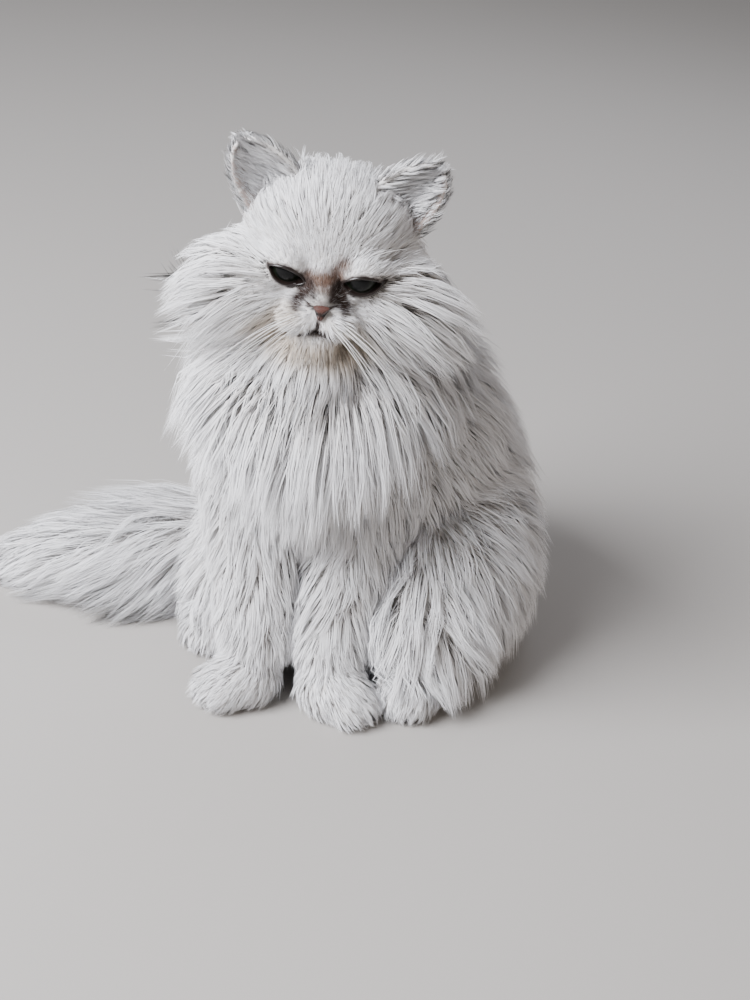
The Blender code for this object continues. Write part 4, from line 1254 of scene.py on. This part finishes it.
def skin_material():
    made, tree, shader = material("dense_white_undercoat", Roughness=0.7, IOR=1.4, Sheen_Weight=0.1)
    place = add(tree, "ShaderNodeTexCoord", {}, {})
    down_hair = add(tree, "ShaderNodeTexNoise", {},
                    {"Vector": place.outputs["Object"], "Scale": 1 / CRIMP, "Detail": 3.0})
    tone = add(tree, "ShaderNodeMix", {"data_type": "RGBA"},
               {"Factor": down_hair.outputs["Fac"], "A": linear(DOWN_DARK), "B": linear(DOWN_LIGHT)})
    ear = add(tree, "ShaderNodeAttribute", {"attribute_name": "inner_ear"}, {})
    parts = add(tree, "ShaderNodeSeparateColor", {}, {"Color": ear.outputs["Color"]})
    skin_tone = add(tree, "ShaderNodeMix", {"data_type": "RGBA"},
                    {"Factor": parts.outputs["Red"], "A": tone.outputs["Result"], "B": linear(EAR_SKIN_WITH_SHADE)})
    tree.links.new(marked_colour(tree, skin_tone.outputs["Result"]), shader.inputs["Base Color"])
    bump = add(tree, "ShaderNodeBump", {},
               {"Height": down_hair.outputs["Fac"], "Strength": 0.4, "Distance": 0.0005})
    tree.links.new(bump.outputs["Normal"], shader.inputs["Normal"])
    return made


def finished(mesh, finish):
    """Shades the mesh smoothly and gives it its only material."""
    for polygon in mesh.polygons:
        polygon.use_smooth = True
    mesh.materials.clear()
    mesh.materials.append(finish)


COAT_MATERIAL = coat_material()
finished(skin_mesh, skin_material())
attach(skin, "root")
FLESH = ["head", "neck", "torso", "front_leg_left", "front_leg_right", "hind_leg_left", "hind_leg_right",
         "tail", "ear_left", "ear_right"]
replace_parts(skin, *FLESH)
print("skin stands for", len(FLESH), "nodes")

# %% [markdown]
# A tuft is a thin, closed blade with a low ridge: three points round at each station, one at the
# tip. Longer tufts have more stations than short ones, so the faces go where they are seen. The
# points and the ways that they face are worked out for all tufts at once, as arrays, because a loop
# over each tuft would take minutes.

# %% The blade of a tuft
RIDGE = 0.30                               # height of the blade's ridge over its width
EDGE_TURN = 0.50                           # how far the blade's edges face sideways
COAT_TURN = 0.8                            # how much all of it faces as the skin under it does
ROLL = 0.5                                 # a tuft is rolled by up to this many radians either way
BLADE_TIMES, BLADE_WIDTHS = (0, 0.25, 0.6, 1), (0.7, 1.0, 0.8, 0.0)    # the outline of a tuft


def resampled(paths, stations):
    """The same paths with fewer stations."""
    wanted = np.linspace(0, STATIONS - 1, stations)
    lower = np.minimum(wanted.astype(int), STATIONS - 2)
    share = (wanted - lower)[None, :, None]
    return paths[:, lower] * (1 - share) + paths[:, lower + 1] * share


def carried(across, headings):
    """The way across each tuft at every station, carried from its root without twist."""
    ways = []
    for k in range(headings.shape[1]):
        heading = headings[:, k]
        across = unit(across - heading * np.sum(across * heading, axis=1, keepdims=True))
        ways.append(across)
    return np.stack(ways, axis=1)


def blades(paths, widths, roots, roll):
    """Corner points of every tuft, and the ways that they face: three round each station, one at the tip.

    Hairs side by side catch the light as one soft surface, so the upper walls' corners face mostly out
    of the coat. The ways come as two sets, for the upper walls and for the one underneath.
    """
    times = np.linspace(0, 1, paths.shape[1])
    headings = unit(np.gradient(paths, axis=1))
    across = carried(np.cross(roots.coat.lie, roots.normals), headings)
    out = np.cross(across, headings)
    cos, sin = np.cos(roll)[:, None, None], np.sin(roll)[:, None, None]
    across, out = across * cos + out * sin, out * cos - across * sin
    profile = np.interp(times, BLADE_TIMES, BLADE_WIDTHS)
    half = (widths[:, None] * profile)[:, :, None] / 2
    sides = np.stack([paths - across * half, paths + across * half, paths + out * half * 2 * RIDGE], axis=2)
    coat_way = roots.normals[:, None, :]
    coat_way = coat_way * np.clip(np.sum(out * coat_way, axis=2, keepdims=True), 0, 1) * COAT_TURN
    over = np.stack([out - across * EDGE_TURN, out + across * EDGE_TURN, out], axis=2) + coat_way[:, :, None]
    under = np.stack([-out - across * EDGE_TURN, -out + across * EDGE_TURN, -out], axis=2)
    body, over, under = (part[:, :-1].reshape(len(paths), -1, 3) for part in (sides, unit(over), unit(under)))
    tips = np.concatenate([body, paths[:, -1:]], axis=1)
    return tips, [np.concatenate([ways, ways[:, -1:]], axis=1) for ways in (over, under)]


def blade_faces(stations):
    """Faces of one tuft as rows of corner numbers: four-sided walls, the root, and three at the tip.

    The first wall of each station, the root and the first face of the tip are the underside.
    """
    walls = []
    for k in range(stations - 2):
        for i in range(3):
            j = (i + 1) % 3
            walls.append([3 * k + i, 3 * k + 3 + i, 3 * k + 3 + j, 3 * k + j])
    last = 3 * (stations - 2)
    tip = last + 3
    ends = [[0, 1, 2]] + [[last + i, tip, last + (i + 1) % 3] for i in range(3)]
    return walls, ends


print("faces of a short and a long tuft:", *(sum(map(len, blade_faces(stations))) for stations in (3, 4)))

# %% [markdown]
# Tufts of one kind are joined into a few pieces, which keeps each piece light. Every tuft gets a small
# patch of its own on the unwrap, at its root's place there, so the painted picture keeps the marks
# where they are. It takes the marks a little more or less than its neighbour, as real hair does.

# %% The coat in pieces
PATCH = 0.003                              # side of each tuft's patch on the unwrap
UNEVEN = (0.75, 1.35)                      # a tuft takes the marks by a factor between these


def tuft_piece(name, paths, widths, roots, strands, stations):
    """One joined mesh of tufts with their UVs, strand values and marks."""
    paths = resampled(paths, stations)
    roll = np.random.default_rng(len(paths)).uniform(-ROLL, ROLL, len(paths))
    places, facing = blades(paths, widths, roots, roll)
    places[:, :, 2] = np.maximum(places[:, :, 2], FLOOR_GAP / 2)
    count, each = places.shape[:2]
    walls, ends = blade_faces(stations)
    pattern = np.array([c for face in walls + ends for c in face])
    sizes = np.array([4] * len(walls) + [3] * len(ends))
    underneath = [i % 3 == 0 for i in range(len(walls))] + [True, True, False, False]
    loops = (np.arange(count)[:, None] * each + pattern).ravel()
    totals = np.tile(sizes, count)
    mesh = bpy.data.meshes.new(name)
    mesh.vertices.add(count * each)
    mesh.vertices.foreach_set("co", places.astype(np.float32).ravel())
    mesh.loops.add(len(loops))
    mesh.loops.foreach_set("vertex_index", loops.astype(np.int32))
    mesh.polygons.add(len(totals))
    mesh.polygons.foreach_set("loop_start", (np.cumsum(totals) - totals).astype(np.int32))
    mesh.polygons.foreach_set("use_smooth", np.ones(len(totals), bool))
    mesh.update(calc_edges=True)
    over, under = (ways[:, pattern] for ways in facing)
    ways = np.where(np.repeat(underneath, sizes)[None, :, None], under, over)
    layer = mesh.attributes.new("custom_normal", "FLOAT_VECTOR", "CORNER")
    layer.data.foreach_set("vector", ways.astype(np.float32).ravel())

    along = np.append(np.repeat(np.linspace(0, 1, stations)[:-1], 3), 1.0)
    aside = np.append(np.tile([0.0, 1.0, 0.5], stations - 1), 0.5)
    spots = roots.uvs[:, None] + PATCH * (np.stack([aside, along], axis=1)[pattern][None] - 0.5)
    mesh.uv_layers.new(name="OFBake").uv.foreach_set("vector", spots.astype(np.float32).ravel())
    # red is the place along the tuft, which sets its painted root shade; green is its random tone
    grain = np.stack([np.broadcast_to(along, (count, each)), np.broadcast_to(column(strands), (count, each))],
                     axis=2).reshape(-1, 2)
    paint(mesh, "strand", grain)
    uneven = np.random.default_rng(count + 1).uniform(*UNEVEN, count)
    marks = markings(places.reshape(-1, 3)) * column(np.repeat(uneven, each))
    paint(mesh, "marks", np.minimum(marks, 1))
    mesh.materials.append(COAT_MATERIAL)
    item = shown(name, mesh)
    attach(item, "root")
    return count * (2 * len(walls) + len(ends))


def some(roots, keep):
    """A part of the roots."""
    return Roots(roots.points[keep], roots.normals[keep], roots.uvs[keep],
                 Coat(*(getattr(roots.coat, field)[keep] for field in Coat._fields)))


# each kind's name, its shortest and longest hair, its stations, and the most tufts in one piece
KINDS = [("short", 0.0, 0.013, 3, 18000), ("middle", 0.013, 0.048, 4, 12000), ("long", 0.048, 1.0, 4, 12000)]
strands = np.random.default_rng(9).random(len(tuft_paths)) ** 2 * 0.8
total = 0
tuft_length = tuft_roots.coat.length * np.where(tuft_under, 0.6, 1.0)
for kind, shortest, longest, stations, most in KINDS:
    members = np.flatnonzero((tuft_length >= shortest) & (tuft_length < longest))
    pieces = math.ceil(len(members) / most)
    for number in range(pieces):
        part = members[number::pieces]
        total += tuft_piece(f"coat_{kind}_{number + 1}", tuft_paths[part], tuft_widths[part],
                            some(tuft_roots, part), strands[part], stations)
    print(kind, len(members), "tufts in", pieces, "pieces")
print("coat triangles:", total)

# %% [markdown]
# A cat's eyeball is a ball with a clear bulge in front. These eyes are half shut in dim light, so
# nearly all that shows is the wide pupil and a ring of dark olive iris. One ball with a clear coat
# over it gives the wet gloss without glass in front of glass.

# %% Eyes
PUPIL = 0.0058
IRIS = 0.0096
IRIS_FIBRE = 1 / 1400                      # length of the iris's fibres, 0.7 mm
BULGE, BULGE_FROM = 0.06, 0.6              # the cornea's rise, and how far ahead of the middle it starts


def eye_material():
    made, tree, shader = material("wet_eye_dark_iris", Roughness=0.3, IOR=1.38, Coat_Weight=0.4,
                                  Coat_Roughness=0.04, Coat_IOR=1.34, Specular_IOR_Level=0.2)
    place = add(tree, "ShaderNodeTexCoord", {}, {})
    axes = add(tree, "ShaderNodeSeparateXYZ", {}, {"Vector": place.outputs["Object"]})
    flat = add(tree, "ShaderNodeCombineXYZ", {}, {"X": axes.outputs["X"], "Z": axes.outputs["Z"]})
    radius = add(tree, "ShaderNodeVectorMath", {"operation": "LENGTH"}, {"Vector": flat.outputs["Vector"]})
    fibres = add(tree, "ShaderNodeTexNoise", {},
                 {"Vector": place.outputs["Object"], "Scale": 1 / IRIS_FIBRE, "Detail": 2.0})
    iris = add(tree, "ShaderNodeMix", {"data_type": "RGBA"},
               {"Factor": fibres.outputs["Fac"], "A": linear("#0C0F0A"), "B": linear("#1A1F16")})
    inner = add(tree, "ShaderNodeMapRange", {"interpolation_type": "SMOOTHSTEP"},
                {"Value": radius.outputs["Value"], "From Min": PUPIL * 0.85, "From Max": PUPIL * 1.1})
    outer = add(tree, "ShaderNodeMapRange", {"interpolation_type": "SMOOTHSTEP"},
                {"Value": radius.outputs["Value"], "From Min": IRIS * 0.9, "From Max": IRIS * 1.05})
    colour = add(tree, "ShaderNodeMix", {"data_type": "RGBA"},
                 {"Factor": inner.outputs["Result"], "A": linear("#040506"), "B": iris.outputs["Result"]})
    whole = add(tree, "ShaderNodeMix", {"data_type": "RGBA"},
                {"Factor": outer.outputs["Result"], "A": colour.outputs["Result"], "B": linear("#120E0C")})
    tree.links.new(whole.outputs["Result"], shader.inputs["Base Color"])
    return made


def eyeball(side, name, finish):
    shape = bmesh.new()
    facing = Matrix.Rotation(math.radians(90), 4, "X")
    bmesh.ops.create_uvsphere(shape, u_segments=64, v_segments=40, radius=EYE_RADIUS, matrix=facing)
    for vert in shape.verts:
        ahead = -vert.co.y / EYE_RADIUS
        vert.co *= 1 + BULGE * max(0.0, ahead - BULGE_FROM) / (1 - BULGE_FROM)
    mesh = from_bmesh("eyeball", shape)
    finished(mesh, finish)
    item = shown(name, mesh)
    item.matrix_world = HEAD @ Matrix.Translation(mirrored(EYE_AT, side))
    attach(item, "root")
    return item


finish = eye_material()
for name, side in SIDES.items():
    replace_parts(eyeball(side, "eyeball_" + name, finish), "eye_" + name)
print("eyeballs: 2")

# %% [markdown]
# The rim of the lids is bare skin, nearly black with pigment and kept damp by tears, so it shines a
# little. It is a rounded band that starts on the skin, rolls over the edge of the opening and ends
# on the eyeball, so no gap shows between eye and lid.

# %% Lid rims
# growth of the outline, height over the skin, and share of the way from the skin to the eyeball
RIM_BANDS = [(0.0022, -0.0006, 0.0), (0.0014, 0.0006, 0.0), (0.0005, 0.0010, 0.0), (-0.0004, 0.0006, 0.20),
             (-0.0012, 0.0000, 0.80), (-0.0024, 0.0000, 1.0)]
RIM_INSIDE = 0.0004                        # bands inside the opening start from the skin at this growth
RIM_WALL = 0.0004
RIM_TUCK = 0.0002                          # the rim ends this far under the eyeball's surface
LID_FOLD = 1 / 1500                        # spacing of the fine folds of the lids' skin, 0.7 mm


def rim_material():
    made, tree, shader = material("pigmented_lid_skin", Roughness=0.35, IOR=1.4, Coat_Weight=0.4,
                                  Coat_Roughness=0.15)
    place = add(tree, "ShaderNodeTexCoord", {}, {})
    folds = add(tree, "ShaderNodeTexNoise", {},
                {"Vector": place.outputs["Object"], "Scale": 1 / LID_FOLD, "Detail": 2.0})
    tone = add(tree, "ShaderNodeMix", {"data_type": "RGBA"},
               {"Factor": folds.outputs["Fac"], "A": linear("#120D0B"), "B": linear("#241A16")})
    tree.links.new(tone.outputs["Result"], shader.inputs["Base Color"])
    bump = add(tree, "ShaderNodeBump", {},
               {"Height": folds.outputs["Fac"], "Strength": 0.3, "Distance": 0.0003})
    tree.links.new(bump.outputs["Normal"], shader.inputs["Normal"])
    return made


def skin_depths(place, outline):
    """How far ahead the skin is at each point of the outline, smoothed round it."""
    ahead = place.to_3x3() @ Vector((0, 1, 0))
    hits = [SKIN_TREE.ray_cast(place @ Vector((x, -0.05, z)), ahead)[0] for x, z in outline]
    depths = np.array([(place.inverted() @ hit).y for hit in hits])
    return (np.roll(depths, 1) + 2 * depths + np.roll(depths, -1)) / 4


def lid_rim(side, name, finish):
    """The rim of one eye's opening."""
    shape = bmesh.new()
    place = eye_frame(side)
    ball = EYE_RADIUS - RIM_TUCK
    loops = []
    for grow, height, inward in RIM_BANDS:
        ring = []
        depths = skin_depths(place, lid_outline(side, max(grow, RIM_INSIDE)))
        for (x, z), skin_depth in zip(lid_outline(side, grow), depths):
            ball_depth = -math.sqrt(max(ball ** 2 - (x + LIDS[side].out) ** 2 - (z - LID_DROP) ** 2,
                                        0.003 ** 2))
            depth = skin_depth + (ball_depth - skin_depth) * inward - height
            ring.append(shape.verts.new(place @ Vector((x, depth, z))))
        loops.append(ring)
    count = len(loops[0])
    for lower, upper in zip(loops, loops[1:]):
        for i in range(count):
            j = (i + 1) % count
            shape.faces.new((lower[i], lower[j], upper[j], upper[i]))
    bmesh.ops.recalc_face_normals(shape, faces=shape.faces)
    item = shown("rim", from_bmesh("rim", shape))
    wall = item.modifiers.new("wall", "SOLIDIFY")
    wall.thickness = RIM_WALL
    soften = item.modifiers.new("soften", "SUBSURF")
    soften.levels = soften.render_levels = 1
    mesh = applied(item)
    finished(mesh, finish)
    made = shown(name, mesh)
    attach(made, "root")


finish = rim_material()
for name, side in SIDES.items():
    lid_rim(side, "lid_rim_" + name, finish)
print("lid rims: 2")

# %% [markdown]
# The nose leather is bare skin: a small brownish wedge, flat and wide above and narrow below, with a
# comma pressed in for each nostril and a groove down its middle, both painted near black as painted
# shade in these hollows. It is pebbled as fine leather is, and damp, which gives it a soft broken gloss.

# %% Nose leather
NOSE_SIZE = Vector((0.0106, 0.0070, 0.0088))
PEBBLE = 0.0004
NOSTRIL = (Vector((0.0019, -0.0006)), Vector((0.0062, 0.0022)))   # its ends, aside and up
NOSTRIL_HALF, NOSTRIL_DEEP = 0.0014, 0.0022
GROOVE_HALF, GROOVE_DEEP = 0.0006, 0.0007
SQUARENESS = 2.6                           # 2 is a ball, and more is nearer a box
FLAT_ABOVE = 0.62                          # the wedge is cut off at this share of its half height


def nose_material():
    made, tree, shader = material("pebbled_nose_leather", Roughness=0.45, IOR=1.4, Coat_Weight=0.1,
                                  Coat_Roughness=0.3)
    place = add(tree, "ShaderNodeTexCoord", {}, {})
    pebbles = add(tree, "ShaderNodeTexVoronoi", {}, {"Vector": place.outputs["Object"], "Scale": 1 / PEBBLE})
    pit_shade = add(tree, "ShaderNodeAttribute", {"attribute_name": "pit_shade"}, {})
    tone = add(tree, "ShaderNodeMix", {"data_type": "RGBA"},
               {"Factor": pebbles.outputs["Distance"], "A": linear("#654139"), "B": linear("#432B26")})
    # the nostrils and the groove are painted near black, as painted shade in these hollows
    dark = add(tree, "ShaderNodeMix", {"data_type": "RGBA"},
               {"Factor": pit_shade.outputs["Fac"], "A": tone.outputs["Result"], "B": linear("#17100E")})
    tree.links.new(dark.outputs["Result"], shader.inputs["Base Color"])
    bump = add(tree, "ShaderNodeBump", {"invert": True},
               {"Height": pebbles.outputs["Distance"], "Strength": 0.35, "Distance": 0.0003})
    tree.links.new(bump.outputs["Normal"], shader.inputs["Normal"])
    return made


def nose_leather():
    """A rounded wedge, pressed in at the nostrils and along the groove. Pit shade says how much painted shade
    darkens each point.
    """
    shape = bmesh.new()
    facing = Matrix.Rotation(math.radians(90), 4, "X")
    bmesh.ops.create_uvsphere(shape, u_segments=72, v_segments=48, radius=1, matrix=facing)
    pit_shades = []
    inner, outer = NOSTRIL
    for vert in shape.verts:
        round_sum = sum(abs(c) ** SQUARENESS for c in vert.co)
        x, y, z = vert.co / max(round_sum, 1e-9) ** (1 / SQUARENESS)
        wide = 0.24 + 0.96 * (0.5 + 0.5 * z)
        place = Vector((x * wide * NOSE_SIZE.x / 2, y * NOSE_SIZE.y / 2,
                        min(z, FLAT_ABOVE) * NOSE_SIZE.z / 2 * 1.2))
        flat = Vector((abs(place.x), place.z + 0.0004))
        share = min(max((flat - inner).dot(outer - inner) / (outer - inner).length_squared, 0), 1)
        gap = (flat - inner - (outer - inner) * share).length
        nostril = math.exp(-(gap / NOSTRIL_HALF) ** 2) if place.y < 0.001 else 0.0
        groove = math.exp(-(place.x / GROOVE_HALF) ** 2) * (place.z < 0.001) * (place.y < 0)
        place.y += NOSTRIL_DEEP * nostril + GROOVE_DEEP * groove
        vert.co = place
        pit_shades.append(min(1.0, 1.25 * nostril + 0.6 * groove))
    mesh = from_bmesh("nose_leather", shape)
    finished(mesh, nose_material())
    layer = mesh.attributes.new("pit_shade", "FLOAT", "POINT")
    layer.data.foreach_set("value", pit_shades)
    item = shown("nose_leather", mesh)
    item.matrix_world = HEAD @ Matrix.Translation(NOSE_AT)
    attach(item, "root")
    return item


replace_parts(nose_leather(), "nose")
print("nose leather:", [round(v * 1000, 1) for v in NOSE_SIZE], "mm")

# %% [markdown]
# The mouth is a dark line that drops from the nose and parts into two lips that turn down. The
# lips are bare, dark and damp along their edge, as the rims of the lids are, so the line is its own
# thin piece of the same skin, laid on the face.

# %% The line of the mouth


def on_face(x, z, height=0.0):
    """The point of the skin straight behind that place of the face, raised by height."""
    start = HEAD @ Vector((x, -0.12, z))
    hit, out, _, _ = SKIN_TREE.ray_cast(start, HEAD.to_3x3() @ Vector((0, 1, 0)))
    return hit + out * height


LIP_START, LIP_THICK, LIP_END = 0.0005, 0.0009, 0.0004     # radii along each line
LIP_LIFT = 0.0002
lip_finish = rim_material()
for number, line in enumerate(MOUTH):
    radii = [LIP_START, *[LIP_THICK] * (len(line) - 2), LIP_END]
    mesh = tube([on_face(x, z, LIP_LIFT) for x, z in line], radii, 8, "lip")
    finished(mesh, lip_finish)
    lip = shown(f"lip_line_{number + 1}", mesh)
    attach(lip, "root")
print("lip lines:", len(MOUTH))

# %% [markdown]
# Whiskers are stiff, tapered hairs, much thicker than the coat's. They are smooth keratin without
# pigment, so each catches one thin highlight. A Persian's are soft and hang down. They grow in rows
# on the muzzle's pads, and a few stand over each eye. A real one is 0.3 mm thick, and these are
# drawn at 0.4 mm so that they show.

# %% Whiskers
WHISKER_RADIUS = 0.00021
WHISKER_STEPS = 12
WHISKER_ROWS = [(-0.0220, 3), (-0.0250, 4), (-0.0280, 3)]    # height on the muzzle, and how many
FIRST_ASIDE, NEXT_ASIDE, NEXT_DOWN = 0.0085, 0.0026, 0.0006  # where a row starts, and its steps
BROW_HAIRS = 3
BROW_HEIGHT = 0.013
WHISKER_CLOUD = 1 / 300                    # size of the faint clouding of the keratin, 3 mm
WHISKER_SINK = -0.0005                     # a whisker's root is this far under the skin


def whisker_material():
    made, tree, shader = material("whisker_keratin", Roughness=0.35, IOR=1.55, Specular_IOR_Level=0.5)
    place = add(tree, "ShaderNodeTexCoord", {}, {})
    cloud = add(tree, "ShaderNodeTexNoise", {},
                {"Vector": place.outputs["Object"], "Scale": 1 / WHISKER_CLOUD})
    tone = add(tree, "ShaderNodeMix", {"data_type": "RGBA"},
               {"Factor": cloud.outputs["Fac"], "A": linear("#EDEBE6"), "B": linear("#FFFFFF")})
    tree.links.new(tone.outputs["Result"], shader.inputs["Base Color"])
    return made


def whisker(root, aim, length, sag, radius):
    """One whisker that starts along aim and sags more and more towards its thin end."""
    points, radii = [], []
    for k in range(WHISKER_STEPS + 1):
        t = k / WHISKER_STEPS
        place = root + HEAD.to_3x3() @ (aim.normalized() * length * t)
        points.append(place + Vector((0, 0, -sag * length * t * t)))
        radii.append(radius * (1 - 0.85 * k / WHISKER_STEPS))
    return tube(points, radii, 6)


def all_whiskers():
    draw = np.random.default_rng(21)
    shape = bmesh.new()
    for side in SIDES.values():
        for row, (z, count) in enumerate(WHISKER_ROWS):
            for i in range(count):
                root = on_face(side * (FIRST_ASIDE + NEXT_ASIDE * i), z - NEXT_DOWN * i, WHISKER_SINK)
                aim = Vector((side * 1.0, -0.55 + 0.10 * i + 0.06 * draw.normal(), -0.35 - 0.12 * row
                              + 0.07 * draw.normal()))
                length = 0.050 + 0.005 * i + 0.010 * draw.random()
                shape.from_mesh(whisker(root, aim, length, 0.35 + 0.10 * draw.random(), WHISKER_RADIUS))
        for i in range(BROW_HAIRS):
            root = on_face(side * (0.0200 + 0.004 * i), BROW_HEIGHT, WHISKER_SINK)
            aim = Vector((side * (0.5 + 0.2 * i), -0.8, 0.9))
            shape.from_mesh(whisker(root, aim, 0.024 + 0.004 * i, 0.15, 0.7 * WHISKER_RADIUS))
    mesh = from_bmesh("whiskers", shape)
    mesh.materials.append(whisker_material())
    item = shown("whiskers", mesh)
    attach(item, "root")
    return len(mesh.polygons)


print("whisker faces:", all_whiskers())
